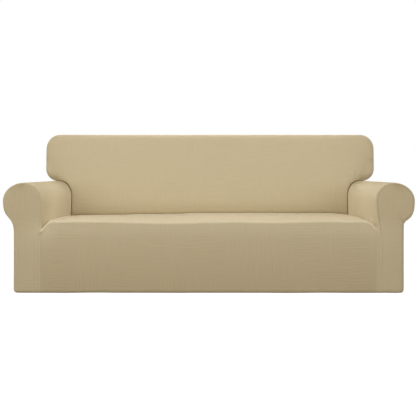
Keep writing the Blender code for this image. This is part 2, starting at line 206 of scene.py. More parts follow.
for arm in ARMS:
    corner_z = FRONT_EDGE[0][1] - arm.corner_drop
    outline = np.vstack([arm_outside(arm), arm_inside(arm, arm.roll_inner_x, corner_z)[1:]])
    print(arm.name, "arm, cloth over it from hem to seat:", round(line_length(outline), 3), "m")

# %% [markdown]
# ## The lines of the back
#
# The inside back is a T. Its wide part stands above the arms with two rounded ends, here called
# lobes. `FREE_LINE` runs round the loose edge of the T, and `JOIN_LINE` runs along the arms and the
# seat, where the cloth is pulled into a crease.

# %% Outlines of the back
LOBE_STEPS = 18
BACK_MIDDLE_ROWS = 32
MOST_EDGE_SHARE = 0.45  # of a short column, for the rows at one of its ends
BACK_EDGE_STEPS = np.array([0.0, 0.0015, 0.004, 0.0075, 0.012, 0.018, 0.025, 0.033, 0.042])
MIRROR = np.array([-1, 1])


def lobe_low(arm):
    """(x, z) of the rounded corner under one end of the back, from the roll out to the end."""
    contact = roll_arc(arm.wall_x, [CONTACT_ANGLE])[0]
    centre_x = arm.lobe_x - LOBE_LOW_RADIUS
    centre_z = contact[1] + math.sqrt(LOBE_LOW_RADIUS**2 - (contact[0] - centre_x) ** 2)
    start = math.atan2(contact[1] - centre_z, contact[0] - centre_x)
    turn = np.linspace(start, 0, LOBE_STEPS + 1)
    centre = np.array([centre_x, centre_z])
    return centre + LOBE_LOW_RADIUS * np.stack([np.cos(turn), np.sin(turn)], axis=1)


def back_top_z(arm, x):
    into_corner = np.maximum(x - (arm.lobe_x - LOBE_TOP_RADIUS), 0)
    return HEIGHT - LOBE_TOP_RADIUS + np.sqrt(np.maximum(LOBE_TOP_RADIUS**2 - into_corner**2, 0))


def seat_columns():
    """x of the seat's columns, from the left arm to the right one."""
    return -LEFT.wall_x + spread(LEFT.wall_x + RIGHT.wall_x, CELL)


def back_columns():
    """(x, low z, high z) of each column of the T's wide part, from end to end."""
    ends = {}
    for arm in ARMS:
        lows = np.vstack([roll_arc(arm.wall_x, CREST_ANGLES[::-1]), lobe_low(arm)[1:]])
        x, low_z = lows.T
        ends[arm.name] = np.column_stack([arm.sign * x, low_z, back_top_z(arm, x)])
    middle = np.array([(x, ROLL_Z, HEIGHT) for x in seat_columns()[1:-1]])
    return np.vstack([ends["left"][::-1], middle, ends["right"]])


def column_shares(foot, head):
    """Shares up a column of the wide part, with the rows close together at its rounded edges."""
    steps = BACK_EDGE_STEPS / (head - foot)
    steps = steps * min(1, MOST_EDGE_SHARE / steps[-1])
    middle = np.linspace(steps[-1], 1 - steps[-1], BACK_MIDDLE_ROWS)[1:-1]
    return np.concatenate([steps, middle, 1 - steps[::-1]])


def column_end(column):
    x, foot, head = column
    return np.array([(x, mix(foot, head, share)) for share in column_shares(foot, head)])


COLUMNS = back_columns()
FREE_LINE = np.vstack(
    [
        lobe_low(RIGHT),
        column_end(COLUMNS[-1])[1:],
        COLUMNS[1:-1][::-1][:, [0, 2]],
        column_end(COLUMNS[0])[::-1][:-1],
        (lobe_low(LEFT) * MIRROR)[::-1],
    ]
)
seat_line = np.array([(x, level_at(BACK_EDGE, x)) for x in seat_columns()[::-1]])
JOIN_LINE = np.vstack(
    [
        arm_inside(RIGHT, RIGHT.wall_x, seat_line[0, 1])[:-1],
        seat_line,
        (arm_inside(LEFT, LEFT.wall_x, seat_line[-1, 1])[:-1] * MIRROR)[::-1],
    ]
)
print("loose edge of the back:", round(line_length(FREE_LINE), 3), "m")

# %% [markdown]
# ## The surface of the inside back
#
# Its depth is worked out point by point: it leans, its ends curve away, its loose edge is rounded
# and it is drawn in along the joins. Distances to the two lines give the last two.

# %% Depth of the inside back
LEAST_SPAN = 1e-12  # keeps a step of no length from dividing by 0


def distance_to(line, x, z):
    """Distance from each (x, z) to a line of points."""
    points = np.stack([np.ravel(x), np.ravel(z)], axis=1)
    nearest = np.full(len(points), np.inf)
    for start, end in zip(line[:-1], line[1:]):
        span = end - start
        share = np.clip(((points - start) @ span) / max(span @ span, LEAST_SPAN), 0, 1)
        gap = points - start - share[:, None] * span
        nearest = np.minimum(nearest, np.hypot(gap[:, 0], gap[:, 1]))
    return nearest.reshape(np.shape(x))


def back_y(x, z):
    x, z = np.asarray(x, float), np.asarray(z, float)
    lobe_x = np.where(x > 0, RIGHT.lobe_x, LEFT.lobe_x)
    into_end = np.maximum(np.abs(x) - (lobe_x - BACK_END_RUN), 0) / BACK_END_RUN
    lean = RECLINE * (z - BACK_EDGE[0][1])
    edge_fall = round_fall(distance_to(FREE_LINE, x, z), BACK_ROUND)
    into_crease = np.maximum(1 - distance_to(JOIN_LINE, x, z) / CREASE_WIDTH, 0)
    crease_fall = CREASE_DEPTH * into_crease**2
    y = FRONT_Y + SEAT_DEPTH + lean + BACK_END_FALL * into_end**2
    return y + np.maximum(edge_fall, crease_fall)


print("inside back at mid height, y =", round(float(back_y(0.0, 0.65)), 4))

# %% [markdown]
# ## Seat and front drop
#
# One piece of cloth covers the seat, rolls over the front edge and hangs to the hem. At each arm
# its front corner falls away: steep and straight on the left, rounder on the right. The grid runs
# from the inside back forwards and then down. Formulas are used in place of a cloth simulation,
# because the cloth is pulled tight over a known shape.

# %% Points of the seat and its drop
CORNER_SHARES = (0.04, 0.08, 0.13, 0.19, 0.26, 0.34, 0.43, 0.53, 0.64, 0.76, 0.88)
RIM_TURNS = (90, 72, 54, 36, 18, 0)  # degrees through the rounding at the front of an arm
RIM_SWAY = 0.006  # how far along the seat that rounding is felt
DROP_ROWS = 36
BEHIND_RUN = 0.40  # about the depth of the seat behind its corners
BEHIND_SHARES = spread(BEHIND_RUN, CELL, False, True) / BEHIND_RUN


def arm_rows(arm):
    """(depth behind the front plane, inset of the arm's outline) of each row, front rim first."""
    rows = []
    for turn in RIM_TURNS:
        angle = math.radians(turn)
        behind, moved_in = 1 - math.sin(angle), 1 - math.cos(angle)
        rows.append((arm.front_round * behind, arm.front_round * moved_in))
    rows += [(mix(arm.front_round, arm.corner_depth, share), 0.0) for share in CORNER_SHARES]
    run = SEAT_DEPTH - arm.corner_depth
    return rows + [(arm.corner_depth + share * run, 0.0) for share in BEHIND_SHARES]


def seat_points(x, depth, rear_y):
    """Points of one row of the seat. depth is where it meets the arms, one value for each x."""
    names = "wall_x corner_depth corner_run corner_drop corner_power corner_flatness".split()
    wall_x, corner_depth, run, drop, power, flatness = (
        np.where(x > 0, getattr(RIGHT, name), getattr(LEFT, name)) for name in names
    )
    share = np.clip((np.abs(x) - (wall_x - run)) / run, 0, 1)
    run_y = mix(SEAT_EDGE_RADIUS, corner_depth, share)
    run_z = SEAT_EDGE_RADIUS + drop * (1 - (1 - share**power) ** (1 / power))
    sine = np.clip(1 - depth / corner_depth, 0, 1)
    fall = mix(1 - np.sqrt(1 - sine * sine), sine, share * flatness)
    behind = np.clip((depth - corner_depth) / (SEAT_DEPTH - corner_depth), 0, 1)
    crown = SEAT_CROWN * np.sin(math.pi * behind)
    z = mix(level_at(FRONT_EDGE, x) - run_z * fall, level_at(BACK_EDGE, x), behind) + crown
    y = mix(FRONT_Y + run_y * (1 - sine), rear_y, behind)
    return np.stack([x, y, z], axis=-1)


def seat_grid():
    x = seat_columns()
    rear_y = back_y(x, level_at(BACK_EDGE, x))
    rows = []
    for at_left, at_right in zip(arm_rows(LEFT)[::-1], arm_rows(RIGHT)[::-1]):
        row = seat_points(x, np.where(x > 0, at_right[0], at_left[0]), rear_y)
        row[:, 0] -= at_left[1] * bell(x + LEFT.wall_x, RIM_SWAY)
        row[:, 0] += at_right[1] * bell(x - RIGHT.wall_x, RIM_SWAY)
        rows.append(row)
    edge = rows[-1]
    for share in np.linspace(0, 1, DROP_ROWS + 1)[1:-1]:
        rows.append(np.column_stack([edge[:, :2], mix(edge[:, 2], HEM_ROWS[-1], share)]))
    for z in reversed(HEM_ROWS):
        rows.append(np.column_stack([edge[:, :2], np.full(len(x), z)]))
    return np.array(rows)


seat = seat_grid()
first_drop_row = len(arm_rows(LEFT))
print("seat and skirt grid:", seat.shape[:2])

# %% [markdown]
# ## Arm wraps
#
# Each arm wrap is a strip that goes up the outside, over the roll and down the inner wall. Behind
# the inside back only its outer part goes on to the rear. Its first row is the keyhole outline of
# the arm's front, and each row behind it is the same outline at another depth, so that the strip
# has the same points all the way.

# %% Points of the arm wraps


def wrap_front_grid(arm):
    """Rows along the depth, points round the arm from the hem to the seat."""
    wall = arm.sign * arm.wall_x
    outside = arm_outside(arm)
    join = arm_inside(arm, arm.wall_x, level_at(BACK_EDGE, wall))
    inside_y = back_y(arm.sign * join[:, 0], join[:, 1])
    join_y = np.concatenate([np.full(len(outside), inside_y[0]), inside_y[1:]])
    rows = []
    for depth, moved_in in arm_rows(arm):
        foot = seat_points(np.array([wall]), np.array([depth]), join_y[-1:])[0]
        inner_x = mix(arm.roll_inner_x, arm.wall_x, depth / SEAT_DEPTH)
        outline = inset(np.vstack([outside, arm_inside(arm, inner_x, foot[2])[1:]]), moved_in)
        outline[-1] = (arm.wall_x + moved_in, foot[2])
        share = max(depth - arm.corner_depth, 0) / (SEAT_DEPTH - arm.corner_depth)
        y = mix(FRONT_Y + min(depth, arm.corner_depth), join_y, share)
        rows.append(np.stack([arm.sign * outline[:, 0], y, outline[:, 1]], axis=1))
    return np.array(rows)


REAR_TURNS = (0, 15, 30, 45, 60, 75, 90)  # degrees round the rear edges
HIDDEN_RUN, HIDDEN_STEP = 0.30, 0.012  # from the inside back to the rear, seen only from the side
right_outside, left_outside = arm_outside(RIGHT), arm_outside(LEFT) * MIRROR
outside_count = len(right_outside)
REAR_OUTLINE = np.vstack([right_outside, FREE_LINE[1:-1], left_outside[::-1]])
REAR_INSETS = [REAR_ROUND * (1 - math.cos(math.radians(turn))) for turn in REAR_TURNS]
REAR_OUTLINES = [inset(REAR_OUTLINE, amount) for amount in REAR_INSETS]


def rear_grid(first, last, start_y):
    """Rows from start_y to the rear panel, for points first to last of the rear outline."""
    straight_end = REAR_Y - REAR_ROUND
    x, z = REAR_OUTLINES[0][first:last].T
    rows = []
    for share in spread(HIDDEN_RUN, HIDDEN_STEP, False, False) / HIDDEN_RUN:
        rows.append(np.stack([x, mix(start_y, straight_end, share), z], axis=1))
    for turn, outline in zip(REAR_TURNS[1:], REAR_OUTLINES[1:]):
        x, z = outline[first:last].T
        y = straight_end + REAR_ROUND * math.sin(math.radians(turn))
        rows.append(np.stack([x, np.full(last - first, y), z], axis=1))
    return np.array(rows)


def wrap_rear_grid(arm):
    contact_y = back_y(arm.sign * lobe_low(arm)[0, 0], lobe_low(arm)[0, 1])
    start_y = np.full(outside_count, contact_y)
    if arm is RIGHT:
        return rear_grid(0, outside_count, start_y)
    return rear_grid(len(REAR_OUTLINE) - outside_count, len(REAR_OUTLINE), start_y)[:, ::-1]


wraps = {arm.name: (wrap_front_grid(arm), wrap_rear_grid(arm)) for arm in ARMS}
for name, (front, rear) in wraps.items():
    print(name, "wrap grids:", front.shape[:2], rear.shape[:2])

# %% [markdown]
# ## Inside back
#
# The inside back is carried over the top and round its ends to the rear seam, with no seam at the
# edge. It is laid out as a low part between the arms, a wide part above them, and a boxing strip
# that runs back from its loose edge.

# %% Points of the inside back


def back_grids():
    x = seat_columns()
    foot = level_at(BACK_EDGE, x)
    z = mix(foot, ROLL_Z, LOW_SHARES[:, None])
    x = np.broadcast_to(x, z.shape)
    low = np.stack([x, back_y(x, z), z], axis=2)
    shares = np.array([column_shares(foot, head) for _, foot, head in COLUMNS]).T
    z = mix(COLUMNS[:, 1], COLUMNS[:, 2], shares)
    x = np.broadcast_to(COLUMNS[:, 0], z.shape)
    high = np.stack([x, back_y(x, z), z], axis=2)
    boxing_y = back_y(FREE_LINE[:, 0], FREE_LINE[:, 1])
    boxing = rear_grid(outside_count - 1, outside_count - 1 + len(FREE_LINE), boxing_y)
    return low, high, boxing


back_low, back_high, boxing = back_grids()
print("inside back grids:", back_low.shape[:2], back_high.shape[:2], boxing.shape[:2])

# %% [markdown]
# ## Sewing the skin together
#
# All panels go into one mesh first, so that neighbours share their seam points and bend together.
# The knit follows each panel by its UV map, which holds distances along the cloth in metres. The
# arm fronts and the outside back are flat: a constrained Delaunay fill takes their outline and a
# field of points inside it, and gives even triangles that meet the outline point for point.

# %% One skin from all the grids
PANELS = (
    "seat_and_skirt",
    "inside_back",
    "outside_back",
    "arm_wrap_left",
    "arm_wrap_right",
    "arm_front_left",
    "arm_front_right",
)
places, corners, face_sizes, face_panels, flat_places = [], [], [], [], []
INSIDE_ONLY, FILL_TOLERANCE = 1, 1e-6  # the fill keeps only the triangles inside the outline
RING_SHARE = 0.97  # a ring's points are dropped where they come nearer to the edge than this
FIRST_FIELD_ROW = 4  # of the hem's rows, the first one that the field of points takes up


def cloth_distances(grid, axis):
    """Distance along the cloth from the first row (axis 0) or the first column (axis 1)."""
    steps = np.linalg.norm(np.diff(grid, axis=axis), axis=2)
    start = np.zeros_like(steps[:1] if axis == 0 else steps[:, :1])
    return np.concatenate([start, np.cumsum(steps, axis)], axis)


def add_faces(points, faces, panel, laid_flat):
    first = sum(len(known) for known in places)
    places.append(points)
    corners.extend((np.asarray(faces) + first).ravel())
    face_sizes.extend([len(faces[0])] * len(faces))
    face_panels.extend([PANELS.index(panel)] * len(faces))
    flat_places.extend(laid_flat[np.asarray(faces).ravel()])


def add_grid(grid, panel, laid_flat):
    ids = np.arange(grid.shape[0] * grid.shape[1]).reshape(grid.shape[:2])
    quads = np.stack([ids[:-1, :-1], ids[:-1, 1:], ids[1:, 1:], ids[1:, :-1]], axis=-1)
    add_faces(grid.reshape(-1, 3), quads.reshape(-1, 4), panel, laid_flat.reshape(-1, 2))


def add_flat(outline, y, panel, cell):
    """Fills a flat upright outline, with points in rows that are close together near its edge."""
    closed = np.vstack([outline, outline[:1]])
    rings = [inset(closed, step)[:-1] for step in SEAM_STEPS[1:]]
    low, high = outline.min(axis=0), outline.max(axis=0)
    above_hem = np.arange(HEM_ROWS[-1], high[1], cell)[1:]
    levels = np.concatenate([HEM_ROWS[FIRST_FIELD_ROW:], above_hem])
    field = np.array([(x, z) for z in levels for x in np.arange(low[0] + cell / 2, high[0], cell)])
    keep = distance_to(closed, *field.T) > SEAM_STEPS[-1] + cell / 3
    points = [outline, field[keep]]
    for step, ring in zip(SEAM_STEPS[1:], rings):
        points.append(ring[distance_to(closed, *ring.T) > step * RING_SHARE])
    points = np.vstack(points)
    rim = [list(range(len(outline)))]
    filled = delaunay_2d_cdt([Vector(p) for p in points], [], rim, INSIDE_ONLY, FILL_TOLERANCE)
    sources = np.array([found[0] for found in filled[3]])
    triangles = sources[np.array(filled[2])]
    solid_points = np.stack([points[:, 0], np.full(len(points), y), points[:, 1]], axis=1)
    add_faces(solid_points, triangles, panel, points)


def across(grid):
    return np.stack([grid[:, :, 0], grid[:, :, 2]], axis=2)


add_grid(seat, "seat_and_skirt", np.stack([seat[:, :, 0], -cloth_distances(seat, 0)], axis=2))
add_grid(back_low, "inside_back", across(back_low))
add_grid(back_high, "inside_back", across(back_high))
boxing_flat = np.stack([cloth_distances(boxing, 1), cloth_distances(boxing, 0)], axis=2)
add_grid(boxing, "inside_back", boxing_flat)
for arm in ARMS:
    for grid in wraps[arm.name]:
        laid_flat = np.stack([grid[:, :, 1], cloth_distances(grid, 1)], axis=2)
        add_grid(grid, "arm_wrap_" + arm.name, laid_flat)
print("grid points:", sum(len(known) for known in places))

# %% [markdown]
# ## Arm fronts and outside back
#
# Their outlines are taken from the rims of the panels next to them, point for point. Only the hem
# is their own.

# %% Flat panels, filled between the points of their neighbours
REAR_CELL, REAR_HEM_CELL = 1.3 * CELL, 2 * CELL  # the hidden rear is a little coarser


def hem_points(start, end, cell):
    """Points along the hem between two corners, neither of them included."""
    count = math.ceil(abs(end - start) / cell)
    return np.array([(mix(start, end, i / count), 0.0) for i in range(1, count)])


for arm in ARMS:
    rim = wraps[arm.name][0][0][:, [0, 2]]
    upright = seat[first_drop_row:, -1 if arm is RIGHT else 0][:, [0, 2]]
    hem = hem_points(upright[-1, 0], rim[0, 0], CELL)
    loop = np.vstack([rim, upright, hem])
    add_flat(loop if arm is RIGHT else loop[::-1], FRONT_Y, "arm_front_" + arm.name, CELL)
rear_edge = REAR_OUTLINES[-1]
hem = hem_points(rear_edge[-1, 0], rear_edge[0, 0], REAR_HEM_CELL)
add_flat(np.vstack([rear_edge, hem]), REAR_Y, "outside_back", REAR_CELL)
print("faces:", len(face_sizes), "for", len(PANELS), "panels")

# %% [markdown]
# ## Merging, and the drawn-in hem
#
# Points that lie on each other are merged, which sews the panels. The last centimetres above the
# floor are drawn in, because the hem has elastic in it.

# %% Merge, and draw in the hem
MERGE_DISTANCE = 1e-5


def sewn_skin():
    mesh = bpy.data.meshes.new("skin")
    points = np.concatenate(places)
    mesh.vertices.add(len(points))
    mesh.vertices.foreach_set("co", points.ravel())
    mesh.loops.add(len(corners))
    mesh.loops.foreach_set("vertex_index", np.array(corners, dtype=np.int32))
    mesh.polygons.add(len(face_sizes))
    starts = np.concatenate([[0], np.cumsum(face_sizes)[:-1]]).astype(np.int32)
    mesh.polygons.foreach_set("loop_start", starts)
    mesh.polygons.foreach_set("material_index", np.array(face_panels, dtype=np.int32))
    uv = mesh.uv_layers.new(name="cloth")
    uv.uv.foreach_set("vector", np.array(flat_places, dtype=np.float32).ravel())
    mesh.update(calc_edges=True)
    skin = bmesh.new()
    skin.from_mesh(mesh)
    bpy.data.meshes.remove(mesh)
    bmesh.ops.remove_doubles(skin, verts=skin.verts, dist=MERGE_DISTANCE)
    bmesh.ops.recalc_face_normals(skin, faces=skin.faces)
    return skin


def draw_in_hem(skin):
    for vertex in skin.verts:
        fall = float(round_fall(vertex.co.z, HEM_HEIGHT)) / HEM_HEIGHT
        side_share = min(abs(vertex.co.x) / LEFT.body_x, 1) ** HEM_DRAW_FADE
        front_share = min(abs(vertex.co.y) / REAR_Y, 1) ** HEM_DRAW_FADE
        vertex.co.x -= math.copysign(HEM_DRAW_SIDE * fall * side_share, vertex.co.x)
        vertex.co.y -= math.copysign(HEM_DRAW_FRONT * fall * front_share, vertex.co.y)


skin = sewn_skin()
draw_in_hem(skin)
skin.normal_update()
loose = [edge for edge in skin.edges if len(edge.link_faces) == 1]
off_floor = [edge for edge in loose if max(v.co.z for v in edge.verts) > MERGE_DISTANCE]
crowded = [edge for edge in skin.edges if len(edge.link_faces) > 2]
print("points", len(skin.verts), "open edges", len(off_floor), "crowded edges", len(crowded))
assert not off_floor and not crowded, "the panels do not meet"

# %% [markdown]
# ## Seams
#
# A seam pulls the cloth in along its line. Shade is also painted into the colour along it: where
# the cover is tucked between the back and the arms the groove is deep and the painted shade dark,
# and elsewhere it is a fine line. Beside the upright seams the painted shade lies in two lines
# either side of a raised ridge, and the hem's bottom millimetres get painted shade as well. The
# kind of a seam follows from the two panels that meet at it, and each point is moved and given
# painted shade by its distance to the nearest seam of each kind.

# %% Groove and painted shade of each kind of seam
# depth and width shape the groove; shade, shade_width and shade_offset are painted shade: how dark,
# how wide, and how far beside the seam it lies
Seam = namedtuple("Seam", "depth width shade shade_width shade_offset")
SEAMS = {
    "tuck": Seam(0.0024, 0.004, 0.18, 0.0036, 0.0),
    "seat_tuck": Seam(0.0002, 0.004, 0.10, 0.0030, 0.0),
    "seat_side": Seam(0.0002, 0.004, 0.00, 0.0035, 0.0),
    "rim_left": Seam(0.0006, 0.004, 0.04, 0.0040, 0.0),
    "rim_right": Seam(0.0016, 0.003, 0.24, 0.0034, 0.0),
    "upright_left": Seam(-0.0016, 0.003, 0.08, 0.0030, 0.0075),
    "upright_right": Seam(-0.0016, 0.003, 0.07, 0.0030, 0.0075),
    "rear": Seam(0.0012, 0.004, 0.20, 0.0030, 0.0),
}
SAMPLE_STEP = 0.0015
# painted shadow under the turned-up hem, in its bottom millimetres
HEM_SHADE, HEM_SHADE_HEIGHT = 0.45, 0.008
TUCK_END_Y = FRONT_Y + SEAT_DEPTH + 0.075  # behind this the back only lies on the roll


def seam_kind(panels, place):
    side = "left" if place[0] < 0 else "right"
    pair = {name.replace("_left", "").replace("_right", "") for name in panels}
    if pair == {"inside_back", "arm_wrap"}:
        return "tuck" if place[1] < TUCK_END_Y else "rear"
    if pair == {"seat_and_skirt", "inside_back"}:
        return "seat_tuck"
    if pair == {"seat_and_skirt", "arm_wrap"}:
        return "seat_side"
    if pair == {"arm_front", "arm_wrap"}:
        return "rim_" + side
    if pair == {"seat_and_skirt", "arm_front"}:
        return "upright_" + side
    return "rear"


def seam_samples(skin):
    """Points along every seam, sorted by the kind of seam."""
    samples = {}
    for edge in skin.edges:
        panels = {PANELS[face.material_index] for face in edge.link_faces}
        if len(panels) < 2:
            continue
        start, end = (np.array(v.co) for v in edge.verts)
        count = max(math.ceil(edge.calc_length() / SAMPLE_STEP), 1)
        line = samples.setdefault(seam_kind(panels, start), [])
        line.extend(mix(start, end, i / count) for i in range(count + 1))
    return samples


def seam_distances(samples, points):
    tree = KDTree(len(samples))
    for index, sample in enumerate(samples):
        tree.insert(sample, index)
    tree.balance()
    return np.array([tree.find(point)[2] for point in points])


samples = seam_samples(skin)
points = np.array([v.co for v in skin.verts])
groove, seam_distance = np.zeros(len(points)), {}
# painted shade: under the hem first, then the darkest of the seams nearby
seam_shade = HEM_SHADE * bell(points[:, 2], HEM_SHADE_HEIGHT)
for kind, line in samples.items():
    seam = SEAMS[kind]
    seam_distance[kind] = distance = seam_distances(line, points)
    pulled = seam.depth * np.exp(-distance / seam.width)
    groove = np.where(np.abs(pulled) > np.abs(groove), pulled, groove)
    shade = seam.shade * bell(distance - seam.shade_offset, seam.shade_width)
    seam_shade = np.maximum(seam_shade, shade)
print("seam samples:", sum(len(line) for line in samples.values()), "kinds:", len(samples))

# %% [markdown]
# ## Folds and slack
#
# Stretch knit lies smooth, but it shows soft ridges where it is pulled to a point: from the lower
# corners of the back's ends, at the seat's front corners and on the arm fronts. Each is given as a
# line with a width and a height, because the picture shows where each one runs and a simulation
# would put them elsewhere. Very slow noise gives the slight unevenness of padding.

# %% Soft ridges and troughs
FORWARD = (0.0, -1.0, 0.0)
# push is the way a fold moves the cloth, along its normal if None. tone paints the cloth lighter or
# darker along the fold: a painted highlight on a ridge, painted shade in a trough.
Fold = namedtuple("Fold", "start end half_width height push tone", defaults=(None, 0.0))
FOLDS = (
    # the rounded undersides of the back's two ends fall away softly
    Fold((-1.120, 0.150, 0.760), (-1.000, 0.140, 0.575), 0.052, -0.012, FORWARD),
    Fold((-1.090, 0.140, 0.610), (-0.930, 0.110, 0.572), 0.036, -0.011, FORWARD),
    Fold((1.130, 0.150, 0.760), (1.010, 0.140, 0.575), 0.052, -0.012, FORWARD),
    Fold((1.100, 0.140, 0.610), (0.935, 0.090, 0.572), 0.036, -0.011, FORWARD),
    # and a thin rolled edge follows them, with a painted highlight along it
    Fold((-1.091, 0.150, 0.760), (-1.088, 0.140, 0.650), 0.005, 0.0022, FORWARD, 0.07),
    Fold((-1.089, 0.142, 0.690), (-1.052, 0.139, 0.618), 0.005, 0.0030, FORWARD, 0.12),
    Fold((1.090, 0.160, 0.840), (1.090, 0.150, 0.700), 0.005, 0.0022, FORWARD, 0.07),
    Fold((1.092, 0.142, 0.690), (1.058, 0.135, 0.620), 0.005, 0.0026, FORWARD, 0.09),
    # short pulls that run up from the corners where the back meets the rolls
    Fold((-0.945, 0.115, 0.590), (-0.915, 0.118, 0.665), 0.007, 0.0018),
    Fold((-0.965, 0.120, 0.600), (-0.975, 0.120, 0.690), 0.007, 0.0020),
    Fold((-0.990, 0.124, 0.612), (-1.030, 0.125, 0.700), 0.008, 0.0020),
    Fold((0.940, 0.115, 0.595), (0.905, 0.118, 0.665), 0.007, 0.0018),
    Fold((0.960, 0.118, 0.605), (0.975, 0.120, 0.690), 0.007, 0.0020),
    Fold((0.990, 0.124, 0.615), (1.030, 0.125, 0.700), 0.008, 0.0020),
    # upright slack on the inner walls, behind the front rims and before the back
    Fold((-0.914, -0.435, 0.560), (-0.914, -0.435, 0.375), 0.007, 0.0030),
    Fold((-0.915, -0.385, 0.560), (-0.915, -0.385, 0.385), 0.009, 0.0030),
    Fold((-0.920, 0.030, 0.560), (-0.918, 0.010, 0.385), 0.014, 0.0026),
    Fold((0.913, -0.420, 0.560), (0.918, -0.410, 0.385), 0.008, 0.0028),
    Fold((0.930, 0.030, 0.560), (0.928, 0.010, 0.385), 0.014, 0.0022),
    # the seat's front corners: a rolled edge with a painted highlight, a patch of painted light
    # beside it, and a filled crease behind
    Fold((-0.934, -0.457, 0.322), (-0.856, -0.450, 0.394), 0.006, 0.0046, None, 0.07),
    Fold((-0.910, -0.475, 0.338), (-0.916, -0.340, 0.390), 0.024, 0.0, None, 0.15),
    Fold((-0.918, -0.475, 0.330), (-0.920, -0.260, 0.390), 0.013, 0.0050),
    Fold((0.860, -0.457, 0.389), (0.938, -0.457, 0.328), 0.006, 0.0040, None, 0.06),
    Fold((0.920, -0.475, 0.335), (0.926, -0.300, 0.390), 0.026, 0.0, None, 0.12),
    Fold((0.928, -0.475, 0.332), (0.930, -0.230, 0.388), 0.014, 0.0060),
    # the tuck in the notch under the right roll, painted darker in it and with a painted highlight
    # beside it
    Fold((1.036, -0.458, 0.412), (1.072, -0.456, 0.376), 0.005, -0.0048, None, -0.12),
    Fold((1.028, -0.458, 0.402), (1.068, -0.456, 0.366), 0.005, 0.0032, None, 0.05),
    # the two upright seams, painted lighter along their line, and the seam allowances that show
    # through beside them
    Fold((-0.926, -0.458, 0.345), (-0.926, -0.458, -0.04), 0.0035, 0.0, None, 0.07),
    Fold((0.938, -0.458, 0.345), (0.938, -0.458, -0.04), 0.0035, 0.0, None, 0.06),
    Fold((-0.945, -0.458, 0.345), (-0.945, -0.458, -0.04), 0.0040, 0.0014),
    Fold((-0.958, -0.458, 0.345), (-0.958, -0.458, -0.04), 0.0040, -0.0014),
    Fold((0.934, -0.458, 0.345), (0.952, -0.458, 0.230), 0.0040, 0.0014),
    Fold((0.952, -0.458, 0.290), (0.952, -0.458, -0.04), 0.0040, 0.0014),
)
FOLD_FADE = 0.22  # share of a fold's length over which it fades at each end
SLACK, SLACK_SIZE = 0.0010, 0.28
HEM_LIFT, HEM_LIFT_SIZE = 0.0022, 0.19  # the hem does not hang quite level
HEM_LIFT_SLICE, HEM_LIFT_BASE = 7.0, 0.4  # where the noise is read, and what is added to it


def fold_moves(points, normals):
    """How far each point moves, and how much light or shade is painted into the cloth there."""
    moves, tone = np.zeros((len(points), 3)), np.zeros(len(points))
    for fold in FOLDS:
        start, end = np.array(fold.start), np.array(fold.end)
        span = end - start
        inside = np.clip(((points - start) @ span) / (span @ span), 0, 1)
        gap = np.linalg.norm(points - start - inside[:, None] * span, axis=1)
        taper = ease(np.clip(np.minimum(inside, 1 - inside) / FOLD_FADE, 0, 1))
        felt = taper * bell(gap, fold.half_width)
        way = normals
        if fold.push is not None:
            push = np.array(fold.push)
            way = push * np.clip(normals @ push, 0, 1)[:, None]
        moves += fold.height * felt[:, None] * way
        tone += fold.tone * felt
    return moves, tone


def slack_relief(points):
    return np.array([SLACK * noise.noise(Vector(p) / SLACK_SIZE) for p in points])


def hem_lift(points):
    places = [Vector((x, y, HEM_LIFT_SLICE)) for x, y, _ in points]
    waves = np.array([noise.noise(place / HEM_LIFT_SIZE) for place in places])
    return HEM_LIFT * np.clip(waves + HEM_LIFT_BASE, 0, 1) * np.exp(-points[:, 2] / HEM_HEIGHT)


normals = np.array([v.normal for v in skin.verts])
moves, fold_painted_tone = fold_moves(points, normals)
moves += normals * (slack_relief(points) - groove)[:, None]
shaped = points + moves
shaped[:, 2] = np.maximum(shaped[:, 2], 0) + hem_lift(points)
for vertex, place in zip(skin.verts, shaped):
    vertex.co = place
skin.normal_update()
print("the cloth moves by up to", round(np.linalg.norm(moves, axis=1).max() * 1000, 2), "mm")

# %% [markdown]
# ## Painted light and shade on the cloth
#
# Light and shade are painted into the cloth's colour here. It is painted lighter over the seat, on
# the inner walls, beside the tucks on the arms, on the lower arm fronts and at the skirt's corners
# and top, and darker under the back's ends, at its foot and its top, on the rolls, along the tucks
# over the rolls and down the skirt towards the hem. Each difference is a patch with a soft edge.
# They are added up point by point and kept on the mesh for the material, which is easier to place
# than a texture and holds no picture.

# %% Painted light and shade of the cloth
SEAT_HEIGHT, SEAT_REACH = 0.39, 0.42  # the seat itself, and what counts as seat
FACING_END_Y = FRONT_Y + SEAT_EDGE_RADIUS  # before this the cloth is the cover's upright front

# The tones below paint light (above 0) or shade (below 0) into the cloth's colour; the other
# numbers place them.
# tucks: the arm beside them, the back beside them, and their line over the roll
TUCK_PALE, TUCK_BACK_DARK, TUCK_REACH = 0.12, -0.06, 0.028
ARC_DARK, ARC_REACH, ARC_START, ARC_RUN = -0.32, 0.006, 0.52, 0.05
# back: the undersides of its ends, its foot above the seat, and its rounded top
LOBE_DARK, LOBE_REACH, LOBE_TOP, LOBE_RUN = -0.18, 0.036, 0.70, 0.06
FOOT_DARK, FOOT_WIDTH = -0.20, 0.055
TOP_DARK, TOP_START, TOP_RUN = -0.11, 0.87, 0.03
# seat: all of it, its left part, its rear and its two sides
SEAT_TONE, SEAT_LEFT_TONE, SEAT_LEFT_START, SEAT_LEFT_RUN = 0.065, 0.055, 0.35, 0.40
SEAT_REAR_PALE, SEAT_REAR_WIDTH = 0.45, 0.17
SEAT_SIDE_PALE, SEAT_SIDE_WIDTH = 0.12, 0.05
# inner walls, on the left and the right arm: all of one, its rear, and its front behind the rim
WALL_REACH, WALL_END_Y = 0.96, 0.2
WALL_PALE, WALL_REAR, WALL_FRONT = (0.12, 0.17), (0.11, 0.17), (-0.10, -0.04)
WALL_REAR_START, WALL_REAR_RUN, WALL_FRONT_START, WALL_FRONT_RUN = -0.15, 0.28, -0.22, 0.20
